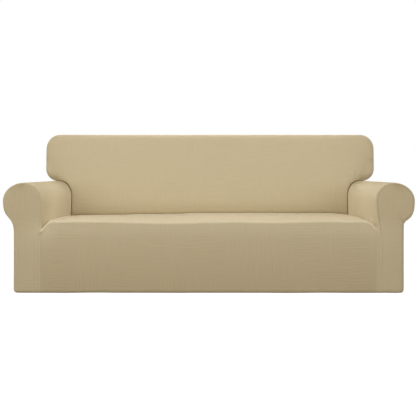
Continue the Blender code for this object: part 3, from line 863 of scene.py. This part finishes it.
# upper side of the rolls
ROLL_DARK, ROLL_START, ROLL_RUN, ROLL_INNER_X = -0.08, 0.50, 0.05, RIGHT.wall_x - 0.05
# front: the lower part of the arm fronts, the skirt's corners, its top edge and its fall to the hem
FACING_PALE, FACING_TOP, FACING_RUN = 0.06, 0.44, 0.15
CORNER_PALE, CORNER_WIDTH = (0.10, 0.06), 0.08
SKIRT_TOP_PALE, SKIRT_TOP_START, SKIRT_TOP_RUN = 0.06, 0.29, 0.06
SKIRT_RANGE, SKIRT_MIDDLE, SKIRT_SIDE_RUN = 0.15, 0.45, 0.03


def near(kind, width):
    return bell(seam_distance[kind], width)


def rise(value, start, run):
    """0 up to start, then up to 1 over the run."""
    return ease(np.clip((value - start) / run, 0, 1))


# painted light on the arm beside the tucks; painted shade on the back beside them and along them
# over the rolls, under the back's ends, at its foot and on its top
def back_tone(x, y, z, up, front, inward):
    on_arc = rise(z, ARC_START, ARC_RUN)
    beside = TUCK_PALE * (1 - front) + TUCK_BACK_DARK * front * on_arc
    tone = beside * near("tuck", TUCK_REACH) + ARC_DARK * near("tuck", ARC_REACH) * on_arc
    under = bell(distance_to(FREE_LINE, x, z), LOBE_REACH) * rise(-z, -LOBE_TOP, LOBE_RUN)
    tone += LOBE_DARK * front * under * (y < REAR_Y - REAR_ROUND)
    tone += FOOT_DARK * (1 - up) * (1 - inward) * near("seat_tuck", FOOT_WIDTH)
    return tone + TOP_DARK * up * rise(z, TOP_START, TOP_RUN)


# painted light over the seat, most at its rear and sides and towards the left
def seat_tone(x, z, up):
    rear, side = near("seat_tuck", SEAT_REAR_WIDTH), near("seat_side", SEAT_SIDE_WIDTH)
    tone = SEAT_TONE + SEAT_REAR_PALE * rear + SEAT_SIDE_PALE * side * (1 - rear)
    tone = tone + SEAT_LEFT_TONE * rise(-x, SEAT_LEFT_START, SEAT_LEFT_RUN)
    return up * (z < SEAT_REACH) * tone


# painted light on the inner walls, most towards the rear; painted shade behind their front rims and
# on the upper side of the rolls
def arm_tone(x, y, z, front, inward):
    pale, rear, before = (np.where(x < 0, *pair) for pair in (WALL_PALE, WALL_REAR, WALL_FRONT))
    wall = pale + rear * rise(y, WALL_REAR_START, WALL_REAR_RUN)
    wall = wall + before * rise(-y, -WALL_FRONT_START, WALL_FRONT_RUN)
    on_roll = (np.abs(x) > ROLL_INNER_X) * (1 - front) * (y < TUCK_END_Y)
    return inward * wall + ROLL_DARK * on_roll * rise(z, ROLL_START, ROLL_RUN)


# painted light on the lower arm fronts, the skirt's corners and its top; painted shade down the
# skirt towards the hem
def front_tone(x, z, facing):
    tone = FACING_PALE * rise(-z, -FACING_TOP, FACING_RUN) * (np.abs(x) > LEFT.wall_x)
    tone = tone + np.where(x < 0, *CORNER_PALE) * near("seat_side", CORNER_WIDTH)
    skirt = SKIRT_TOP_PALE * rise(z, SKIRT_TOP_START, SKIRT_TOP_RUN)
    skirt = skirt + SKIRT_RANGE * (z / SEAT_HEIGHT - SKIRT_MIDDLE)
    return facing * (tone + skirt * rise(-np.abs(x), -RIGHT.wall_x, SKIRT_SIDE_RUN))


def painted_light_and_shade(points, normals):
    x, y, z = points.T
    up, front = np.clip(normals[:, 2], 0, 1), np.clip(-normals[:, 1], 0, 1)
    inward = np.clip(-normals[:, 0] * np.sign(x), 0, 1) ** 2
    inward = inward * (np.abs(x) < WALL_REACH) * (y < WALL_END_Y)
    tone = back_tone(x, y, z, up, front, inward) + seat_tone(x, z, up)
    return tone + arm_tone(x, y, z, front, inward) + front_tone(x, z, front * (y < FACING_END_Y))


tone = painted_light_and_shade(points, normals) + fold_painted_tone
print("tone from", round(float(tone.min()), 3), "to", round(float(tone.max()), 3))

# %% [markdown]
# ## Cutting the panels
#
# The skin is cut along its seams into seven sheets. Each gets an inner face and a cut edge, so that
# it is cloth with a thickness from every side. The gap between two sheets is a hair wide.

# %% Panels with a thickness
CLOTH = 0.0016
SEAM_GAP = 0.0003
MOST_MITRE = 3.0
SHARP_ANGLE = math.radians(60)


def new_object(name, data):
    made = bpy.data.objects.new(name, data)
    bpy.context.scene.collection.objects.link(made)
    return made


def seam_pull(vertex, faces):
    """Direction from a seam into the panel."""
    pull = Vector()
    for edge in vertex.link_edges:
        inside = [face for face in edge.link_faces if face in faces]
        if len(inside) != 1 or len(edge.link_faces) != 2:
            continue
        along = edge.other_vert(vertex).co - vertex.co
        side = vertex.normal.cross(along).normalized()
        if side.dot(inside[0].calc_center_median() - vertex.co) < 0:
            side.negate()
        pull += side
    return pull.normalized() if pull.length > 0 else pull


def cut_panel(skin, panel):
    index = PANELS.index(panel)
    faces = {face for face in skin.faces if face.material_index == index}
    skin_uv = skin.loops.layers.uv["cloth"]
    solid = bmesh.new()
    uv = solid.loops.layers.uv.new("cloth")
    shade = solid.verts.layers.float.new("seam_shade")
    painted_tone_layer = solid.verts.layers.float.new("painted_light_and_shade")
    outer, inner = {}, {}
    for vertex in sorted({v for face in faces for v in face.verts}, key=lambda v: v.index):
        place = vertex.co + seam_pull(vertex, faces) * SEAM_GAP / 2
        mitre = min(vertex.calc_shell_factor(), MOST_MITRE)
        outer[vertex] = solid.verts.new(place)
        inner[vertex] = solid.verts.new(place - vertex.normal * CLOTH * mitre)
        # both faces carry the painted shade of the seams and the painted light and shade of the
        # cloth
        outer[vertex][shade] = inner[vertex][shade] = seam_shade[vertex.index]
        outer[vertex][painted_tone_layer] = inner[vertex][painted_tone_layer] = tone[vertex.index]
    for face in sorted(faces, key=lambda f: f.index):
        uvs = [loop[skin_uv].uv for loop in face.loops]
        made = [([outer[v] for v in face.verts], uvs)]
        made.append(([inner[v] for v in reversed(face.verts)], uvs[::-1]))
        for loop, here in zip(face.loops, uvs):
            if any(other is not face and other in faces for other in loop.edge.link_faces):
                continue
            start, end = loop.vert, loop.link_loop_next.vert
            there = loop.link_loop_next[skin_uv].uv
            rim = [outer[end], outer[start], inner[start], inner[end]]
            made.append((rim, [there, here, here, there]))
        for verts, places_flat in made:
            new = solid.faces.new(verts)
            new.smooth = True
            for new_loop, place in zip(new.loops, places_flat):
                new_loop[uv].uv = place
    mesh = bpy.data.meshes.new(panel)
    solid.to_mesh(mesh)
    solid.free()
    return mesh


skin.verts.index_update()
skin.faces.index_update()
cloths = {}
for panel in PANELS:
    mesh = cut_panel(skin, panel)
    mesh.set_sharp_from_angle(angle=SHARP_ANGLE)
    cloths[panel] = new_object(panel + "_cloth", mesh)
    print(panel, len(mesh.vertices), "points")

# %% [markdown]
# ## The line of the hem stitches
#
# A stretch cover is hemmed with a twin needle, which leaves two rows of short stitches. The skin is
# sliced level at two heights, and the slices are kept as lines for the stitches to follow.

# %% Slices through the skin
STITCH_ROWS = (0.0185, 0.0245)  # heights of the two rows above the floor
SLICE_TOLERANCE = 1e-6


def level_slice(skin, height):
    """The closed line in which a level plane meets the skin, as points and edges."""
    copy = skin.copy()
    plane = {"plane_co": (0, 0, height), "plane_no": (0, 0, 1), "dist": SLICE_TOLERANCE}
    everything = copy.verts[:] + copy.edges[:] + copy.faces[:]
    cut = bmesh.ops.bisect_plane(copy, geom=everything, **plane)
    edges = [part for part in cut["geom_cut"] if isinstance(part, bmesh.types.BMEdge)]
    index, line_points, line_edges = {}, [], []
    for edge in edges:
        for vertex in edge.verts:
            if vertex not in index:
                index[vertex] = len(line_points)
                line_points.append(tuple(vertex.co))
        line_edges.append([index[vertex] for vertex in edge.verts])
    copy.free()
    return line_points, line_edges


stitch_points, stitch_edges = [], []
for height in STITCH_ROWS:
    line_points, line_edges = level_slice(skin, height)
    stitch_edges += [[i + len(stitch_points) for i in edge] for edge in line_edges]
    stitch_points += line_points
    print("row at", height, "m:", len(line_points), "points and", len(line_edges), "edges")
skin.free()

# %% [markdown]
# ## Helpers for node trees
#
# Materials and Geometry Nodes are both trees of nodes. One helper makes a node and fills its
# sockets, with a fixed value or with the output of another node. A second makes a shader group that
# starts from a place on the cloth, so that its named sizes can be changed in one place.

# %% Helpers for nodes


def add_node(tree, kind, sockets=(), **settings):
    """A new node. sockets gives its inputs a number, a colour or another node's output."""
    node = tree.nodes.new(kind)
    for name, value in settings.items():
        setattr(node, name, value)
    for socket, value in dict(sockets).items():
        if isinstance(value, bpy.types.NodeSocket):
            tree.links.new(value, node.inputs[socket])
        else:
            node.inputs[socket].default_value = value
    return node


def calculate(tree, operation, *values):
    return add_node(tree, "ShaderNodeMath", enumerate(values), operation=operation).outputs[0]


def new_group(name, sizes, result):
    """A group, its inputs, and how far across and along the cloth a place is."""
    group = bpy.data.node_groups.new(name, "ShaderNodeTree")
    add_socket = group.interface.new_socket
    add_socket("Cloth", in_out="INPUT", socket_type="NodeSocketVector")
    for size_name, size in sizes.items():
        made = add_socket(size_name, in_out="INPUT", socket_type="NodeSocketFloat")
        made.default_value = size
    add_socket(result, in_out="OUTPUT", socket_type="NodeSocketFloat")
    given = group.nodes.new("NodeGroupInput").outputs
    parts = add_node(group, "ShaderNodeSeparateXYZ", {"Vector": given["Cloth"]}).outputs
    return group, given, parts["X"], parts["Y"]


print("node helpers ready")

# %% [markdown]
# ## The knit
#
# The cloth is a fine double knit, in beige with a slight olive cast. Close to, it shows upright
# rows of loops, called wales, and a small raised check. They are worked out along the cloth from
# its UV map, so they turn with each panel. They are relief only: loops made as geometry would be
# finer than a pixel and need millions of faces.

# %% Knit relief: wales and a small check
WALE_WIDTH, WALE_HEIGHT = 0.0019, 0.00012
CHECK_WIDTH, CHECK_HEIGHT = 0.0075, 0.00008


def wave(tree, place, pitch):
    turns = calculate(tree, "DIVIDE", place, pitch)
    return calculate(tree, "SINE", calculate(tree, "MULTIPLY", turns, math.tau))


def knit_relief_group():
    sizes = {"Wale width": WALE_WIDTH, "Wale height": WALE_HEIGHT}
    sizes |= {"Check width": CHECK_WIDTH, "Check height": CHECK_HEIGHT}
    group, given, across, along = new_group("knit_relief", sizes, "Height")
    loops = wave(group, across, given["Wale width"])
    wales = calculate(group, "MULTIPLY", loops, given["Wale height"])
    columns, courses = (wave(group, place, given["Check width"]) for place in (across, along))
    squares = calculate(group, "MULTIPLY", columns, courses)
    check = calculate(group, "MULTIPLY", squares, given["Check height"])
    add_node(group, "NodeGroupOutput", {"Height": calculate(group, "ADD", wales, check)})
    return group


knit_relief = knit_relief_group()
print(knit_relief.name, "nodes:", len(knit_relief.nodes))

# %% [markdown]
# ## Streaks
#
# From further off the knit shows faint streaks, some level and some upright, where the yarn is
# pulled. Noise that is stretched one way gives them, and slow noise chooses patches of one kind or
# the other. They change the tone as well as the relief, and the thread takes them too, so they are
# a group of their own.

# %% Streaks: where the yarn is pulled
STREAK_LENGTH, STREAK_WIDTH, PATCH_SIZE = 0.110, 0.0085, 0.30
PATCH_LOW, PATCH_HIGH = 0.40, 0.60  # where the slow noise goes from one kind to the other
STREAK_GAIN = 4.0  # brings the noise to about 1 at its strongest


def stretched_noise(tree, across, along, width, length):
    parts = {"X": calculate(tree, "DIVIDE", across, width)}
    parts["Y"] = calculate(tree, "DIVIDE", along, length)
    place = add_node(tree, "ShaderNodeCombineXYZ", parts).outputs["Vector"]
    sockets = {"Vector": place, "Scale": 1.0, "Detail": 1.0}
    return add_node(tree, "ShaderNodeTexNoise", sockets, noise_dimensions="2D").outputs["Fac"]


def streaks_group():
    """Gives a value that goes up and down round 0, about 1 at its strongest."""
    sizes = {"Length": STREAK_LENGTH, "Width": STREAK_WIDTH, "Patch size": PATCH_SIZE}
    group, given, across, along = new_group("yarn_streaks", sizes, "Streak")
    length, width, patch = given["Length"], given["Width"], given["Patch size"]
    level = stretched_noise(group, across, along, length, width)
    upright = stretched_noise(group, across, along, width, length)
    patches = stretched_noise(group, across, along, patch, patch)
    sockets = {"Value": patches, "From Min": PATCH_LOW, "From Max": PATCH_HIGH}
    choose = add_node(group, "ShaderNodeMapRange", sockets, interpolation_type="SMOOTHSTEP")
    sockets = {"Factor": choose.outputs["Result"], "A": level, "B": upright}
    blend = add_node(group, "ShaderNodeMix", sockets).outputs["Result"]
    streak = calculate(group, "MULTIPLY", calculate(group, "SUBTRACT", blend, 0.5), STREAK_GAIN)
    add_node(group, "NodeGroupOutput", {"Streak": streak})
    return group


yarn_streaks = streaks_group()
print(yarn_streaks.name, "nodes:", len(yarn_streaks.nodes))

# %% [markdown]
# ## Materials
#
# The cloth is matt, with hardly any shine. Its colour is the yarn's, varied by the streaks, moved
# by the painted light and shade kept on the mesh, and darkened by painted shade in the seams and at
# the hem. The thread is a little paler and smoother.

# %% Materials of the cloth and the thread
KNIT_COLOUR, KNIT_ROUGHNESS, KNIT_SPECULAR = (0.552, 0.462, 0.302), 0.9, 0.15
THREAD_COLOUR, THREAD_ROUGHNESS, THREAD_SPECULAR = (0.580, 0.490, 0.325), 0.7, 0.25
# The seam colour below is what painted shade in the seams and at the hem blends towards, and the
# shift is what each unit of painted light and shade adds to the colour.
SEAM_SHADE_COLOUR = (0.16, 0.125, 0.06, 1.0)
PAINTED_TONE_SHIFT = (0.50, 0.50, 0.44)  # added for each unit of the cloth's tone
STREAK_TONE, STREAK_HEIGHT = 0.019, 0.00030


def new_material(name, roughness, specular):
    """A material, its node tree, and the inputs of its shader."""
    material = bpy.data.materials.new(name)
    material.use_nodes = True
    shader = material.node_tree.nodes["Principled BSDF"].inputs
    shader["Roughness"].default_value = roughness
    shader["Specular IOR Level"].default_value = specular
    return material, material.node_tree, shader


def group_output(tree, group, place):
    return add_node(tree, "ShaderNodeGroup", {"Cloth": place}, node_tree=group).outputs[0]


def toned(tree, colour, streak):
    """A colour made a little lighter and darker by the streaks."""
    scale = calculate(tree, "MULTIPLY_ADD", streak, STREAK_TONE, 1.0)
    sockets = {"Vector": colour, "Scale": scale}
    return add_node(tree, "ShaderNodeVectorMath", sockets, operation="SCALE").outputs["Vector"]


def knit_material():
    material, tree, shader = new_material("beige_stretch_knit", KNIT_ROUGHNESS, KNIT_SPECULAR)
    place = add_node(tree, "ShaderNodeUVMap", uv_map="cloth").outputs["UV"]
    relief, streak = (group_output(tree, group, place) for group in (knit_relief, yarn_streaks))
    height = calculate(tree, "MULTIPLY_ADD", streak, STREAK_HEIGHT, relief)
    bump = add_node(tree, "ShaderNodeBump", {"Height": height, "Distance": 1.0})
    tree.links.new(bump.outputs["Normal"], shader["Normal"])
    # painted light and shade from the mesh, then painted shade in the seams and at the hem
    tone = add_node(tree, "ShaderNodeAttribute", attribute_name="painted_light_and_shade").outputs["Vector"]
    sockets = {0: tone, 1: PAINTED_TONE_SHIFT, 2: toned(tree, KNIT_COLOUR, streak)}
    yarn_with_painted_tone = add_node(tree, "ShaderNodeVectorMath", sockets, operation="MULTIPLY_ADD")
    shade = add_node(tree, "ShaderNodeAttribute", attribute_name="seam_shade").outputs["Fac"]
    sockets = {"Factor": shade, "A": yarn_with_painted_tone.outputs["Vector"], "B": SEAM_SHADE_COLOUR}
    colour = add_node(tree, "ShaderNodeMix", sockets, data_type="RGBA").outputs["Result"]
    tree.links.new(colour, shader["Base Color"])
    return material


def thread_material():
    material, tree, shader = new_material("beige_thread", THREAD_ROUGHNESS, THREAD_SPECULAR)
    place = tree.nodes.new("ShaderNodeTexCoord").outputs["Object"]
    colour = toned(tree, THREAD_COLOUR, group_output(tree, yarn_streaks, place))
    tree.links.new(colour, shader["Base Color"])
    return material


knit, thread = knit_material(), thread_material()
for cloth in cloths.values():
    cloth.data.materials.append(knit)
print("materials:", knit.name, thread.name)

# %% [markdown]
# ## Hem stitches
#
# One stitch is a small flattened bead of thread. Geometry Nodes lays it along the two lines, one
# every few millimetres, turned along the line and half sunk in the cloth. So a few sizes shape
# thousands of stitches alike. The result is then kept as a plain mesh.

# %% Stitches along the hem
STITCH_PITCH, STITCH_LENGTH, THREAD_WIDTH = 0.0050, 0.0036, 0.0009
BEAD = {"Segments": 6, "Rings": 4, "Radius": 0.5}
STITCH_INPUTS = {
    "Pitch": ("NodeSocketFloat", STITCH_PITCH),
    "Stitch length": ("NodeSocketFloat", STITCH_LENGTH),
    "Thread width": ("NodeSocketFloat", THREAD_WIDTH),
    "Thread": ("NodeSocketMaterial", thread),
}


def stitch_tree():
    tree = bpy.data.node_groups.new("stitches_on_lines", "GeometryNodeTree")
    add_socket = tree.interface.new_socket
    add_socket("Lines", in_out="INPUT", socket_type="NodeSocketGeometry")
    for name, (kind, _) in STITCH_INPUTS.items():
        add_socket(name, in_out="INPUT", socket_type=kind)
    add_socket("Stitches", in_out="OUTPUT", socket_type="NodeSocketGeometry")
    given = tree.nodes.new("NodeGroupInput").outputs
    line = add_node(tree, "GeometryNodeMeshToCurve", {"Mesh": given["Lines"]}).outputs["Curve"]
    sockets = {"Curve": line, "Length": given["Pitch"]}
    spaced = add_node(tree, "GeometryNodeResampleCurve", sockets, mode="LENGTH").outputs["Curve"]
    bead = add_node(tree, "GeometryNodeMeshUVSphere", BEAD).outputs["Mesh"]
    length, width = given["Stitch length"], given["Thread width"]
    size = add_node(tree, "ShaderNodeCombineXYZ", {"X": length, "Y": width, "Z": width})
    way = {"Vector": tree.nodes.new("GeometryNodeInputTangent").outputs["Tangent"]}
    turned = add_node(tree, "FunctionNodeAlignRotationToVector", way, axis="X")
    sockets = {"Points": spaced, "Instance": bead}
    sockets |= {"Rotation": turned.outputs["Rotation"], "Scale": size.outputs["Vector"]}
    placed = add_node(tree, "GeometryNodeInstanceOnPoints", sockets).outputs["Instances"]
    real = add_node(tree, "GeometryNodeRealizeInstances", {"Geometry": placed})
    sockets = {"Geometry": real.outputs["Geometry"], "Material": given["Thread"]}
    dressed = add_node(tree, "GeometryNodeSetMaterial", sockets).outputs["Geometry"]
    add_node(tree, "NodeGroupOutput", {"Stitches": dressed})
    return tree


def stitches_on(name, line_points, line_edges, tree):
    lines = bpy.data.meshes.new(name)
    lines.from_pydata(line_points, line_edges, [])
    stitches = new_object(name, lines)
    maker = stitches.modifiers.new("stitches", "NODES")
    maker.node_group = tree
    for item in tree.interface.items_tree:
        if item.name in STITCH_INPUTS and item.in_out == "INPUT":
            maker[item.identifier] = STITCH_INPUTS[item.name][1]
    evaluated = stitches.evaluated_get(bpy.context.evaluated_depsgraph_get())
    made = bpy.data.meshes.new_from_object(evaluated)
    stitches.modifiers.remove(maker)
    stitches.data = made
    bpy.data.meshes.remove(lines)
    made.name = name
    return stitches


hem_stitches = stitches_on("hem_stitches", stitch_points, stitch_edges, stitch_tree())
hem_stitches.data.shade_smooth()
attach(hem_stitches, "root")
print("hem stitches:", len(hem_stitches.data.polygons), "faces")

# %% [markdown]
# ## Attaching the sheets
#
# Each panel is attached to the root body, and the CAD solid of the same name is hidden.

# %% Sheets of cloth
for panel, cloth in cloths.items():
    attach(cloth, "root")
    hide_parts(panel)

# %% [markdown]
# ## Camera
#
# The picture is seen level from in front, a little above the arms. Level lines that run away from
# the camera meet at one point of a picture, and that point fixes the camera's height and the shift
# of its lens.

# %% Camera
CAMERA_DISTANCE, CAMERA_HEIGHT = 2.562, 0.662
FOCAL_PIXELS, FRAME = 469.3, 416
VANISHING_X, HORIZON_Y = 208.9, 172
SENSOR_WIDTH = 36.0  # mm

camera = bpy.data.cameras.new("camera")
camera.sensor_width = SENSOR_WIDTH
camera.lens = FOCAL_PIXELS * SENSOR_WIDTH / FRAME
camera.shift_x = (FRAME / 2 - VANISHING_X) / FRAME
camera.shift_y = (HORIZON_Y - FRAME / 2) / FRAME
viewer = new_object("camera", camera)
viewer.location = (0.0, FRONT_Y - CAMERA_DISTANCE, CAMERA_HEIGHT)
viewer.rotation_euler = (math.radians(90), 0.0, 0.0)
bpy.context.scene.camera = viewer
print("lens", round(camera.lens, 2), "mm")

# %% [markdown]
# ## Lamps
#
# The lamps are wide and soft, as in a studio: one over the seat, a low one before it, one behind
# the top that lights the upper edges, one at each side, a small cool one turned to the inner wall
# of each arm, and one at the rear for views from behind.

# %% Soft lamps
Lamp = namedtuple("Lamp", "name place target width depth power colour")
WHITE, WARM, COOL = (1.0, 1.0, 1.0), (1.0, 0.98, 0.88), (1.0, 1.03, 1.18)
LAMPS = (
    Lamp("over_seat", (0.0, -0.3, 3.0), (0.0, -0.1, 0.4), 3.0, 2.0, 14.2, WHITE),
    Lamp("before_seat", (0.0, -1.6, 1.3), (0.0, -0.4, 0.5), 2.6, 0.6, 4.7, WARM),
    Lamp("behind_top", (0.0, 0.9, 2.4), (0.0, -0.1, 0.5), 2.5, 0.8, 31.9, WHITE),
    Lamp("left_side", (-2.4, -1.6, 2.0), (0.2, 0.0, 0.4), 1.2, 1.2, 16.5, WARM),
    Lamp("right_side", (2.4, -1.6, 2.0), (-0.2, 0.0, 0.4), 1.2, 1.2, 9.3, WARM),
    Lamp("to_right_arm", (-1.0, -0.8, 1.7), (0.95, -0.2, 0.45), 0.8, 0.8, 3.4, COOL),
    Lamp("to_left_arm", (1.0, -0.8, 1.7), (-0.95, -0.2, 0.45), 0.8, 0.8, 3.7, COOL),
    Lamp("rear", (0.0, 3.2, 1.9), (0.0, 0.4, 0.5), 3.0, 1.5, 30.0, WHITE),
)


def hang_lamp(lamp):
    light = bpy.data.lights.new(lamp.name, "AREA")
    light.shape = "RECTANGLE"
    light.size, light.size_y = lamp.width, lamp.depth
    light.energy, light.color = lamp.power, lamp.colour
    hung = new_object(lamp.name, light)
    hung.location = lamp.place
    way = Vector(lamp.target) - Vector(lamp.place)
    hung.rotation_euler = way.to_track_quat("-Z", "Y").to_euler()
    hung.visible_camera = False
    return hung


lamps = [hang_lamp(lamp) for lamp in LAMPS]
print("lamps:", len(lamps), "with", sum(lamp.power for lamp in LAMPS), "W")

# %% [markdown]
# ## Surroundings
#
# The picture is a plain cut-out on white, so the world is white to the camera. To the cloth it is
# brightest at the horizon, which lights the upright parts evenly. The pale floor takes no part in
# lighting the cloth, so that the skirt darkens towards the hem as it does in the picture.

# %% Pale surroundings
FROM_BELOW, FROM_HORIZON, FROM_ABOVE = (0.215, 0.15, 0.06), (1.86, 1.90, 1.93), (0.0, 0.0, 0.0)
SKY_STOPS = (
    (0.0, FROM_BELOW),
    (0.499, FROM_BELOW),
    (0.501, FROM_HORIZON),
    (0.66, FROM_HORIZON),
    (0.70, FROM_ABOVE),
)
PAPER = (1.0, 1.0, 1.0, 1.0)
FLOOR_HALF, FLOOR_Z = 15.0, -0.001
FLOOR_PAINT, FLOOR_ROUGHNESS, FLOOR_SPECULAR = (0.35, 0.35, 0.35, 1.0), 0.9, 0.5
FLOOR_GLOW = 0.86


def pale_sky():
    """White to the camera. To the cloth it is brightest at the horizon."""
    world = bpy.data.worlds.new("pale_sky")
    world.use_nodes = True
    tree = world.node_tree
    way = {"Vector": tree.nodes.new("ShaderNodeTexCoord").outputs["Generated"]}
    up = add_node(tree, "ShaderNodeSeparateXYZ", way).outputs["Z"]
    height = add_node(tree, "ShaderNodeMapRange", {"Value": up, "From Min": -1.0})
    ramp = add_node(tree, "ShaderNodeValToRGB", {"Fac": height.outputs["Result"]})
    while len(ramp.color_ramp.elements) < len(SKY_STOPS):
        ramp.color_ramp.elements.new(1.0)
    for element, (place, colour) in zip(ramp.color_ramp.elements, SKY_STOPS):
        element.position = place
        element.color = (*colour, 1.0)
    to_camera = tree.nodes.new("ShaderNodeLightPath").outputs["Is Camera Ray"]
    sockets = {"Factor": to_camera, "A": ramp.outputs["Color"], "B": PAPER}
    colour = add_node(tree, "ShaderNodeMix", sockets, data_type="RGBA").outputs["Result"]
    tree.links.new(colour, tree.nodes["Background"].inputs["Color"])
    return world


def pale_floor():
    mesh = bpy.data.meshes.new("floor")
    corners = [(-1, -1), (1, -1), (1, 1), (-1, 1)]
    places = [(x * FLOOR_HALF, y * FLOOR_HALF, FLOOR_Z) for x, y in corners]
    mesh.from_pydata(places, [], [(0, 1, 2, 3)])
    floor = new_object("floor", mesh)
    floor.visible_diffuse = False
    floor.visible_shadow = False
    paint, _, shader = new_material("pale_floor", FLOOR_ROUGHNESS, FLOOR_SPECULAR)
    shader["Base Color"].default_value = FLOOR_PAINT
    shader["Emission Color"].default_value = PAPER
    shader["Emission Strength"].default_value = FLOOR_GLOW
    mesh.materials.append(paint)
    return floor


bpy.context.scene.world = pale_sky()
bpy.context.scene.view_settings.view_transform = "Standard"
floor = pale_floor()
print("stage pieces:", 1 + len(lamps))
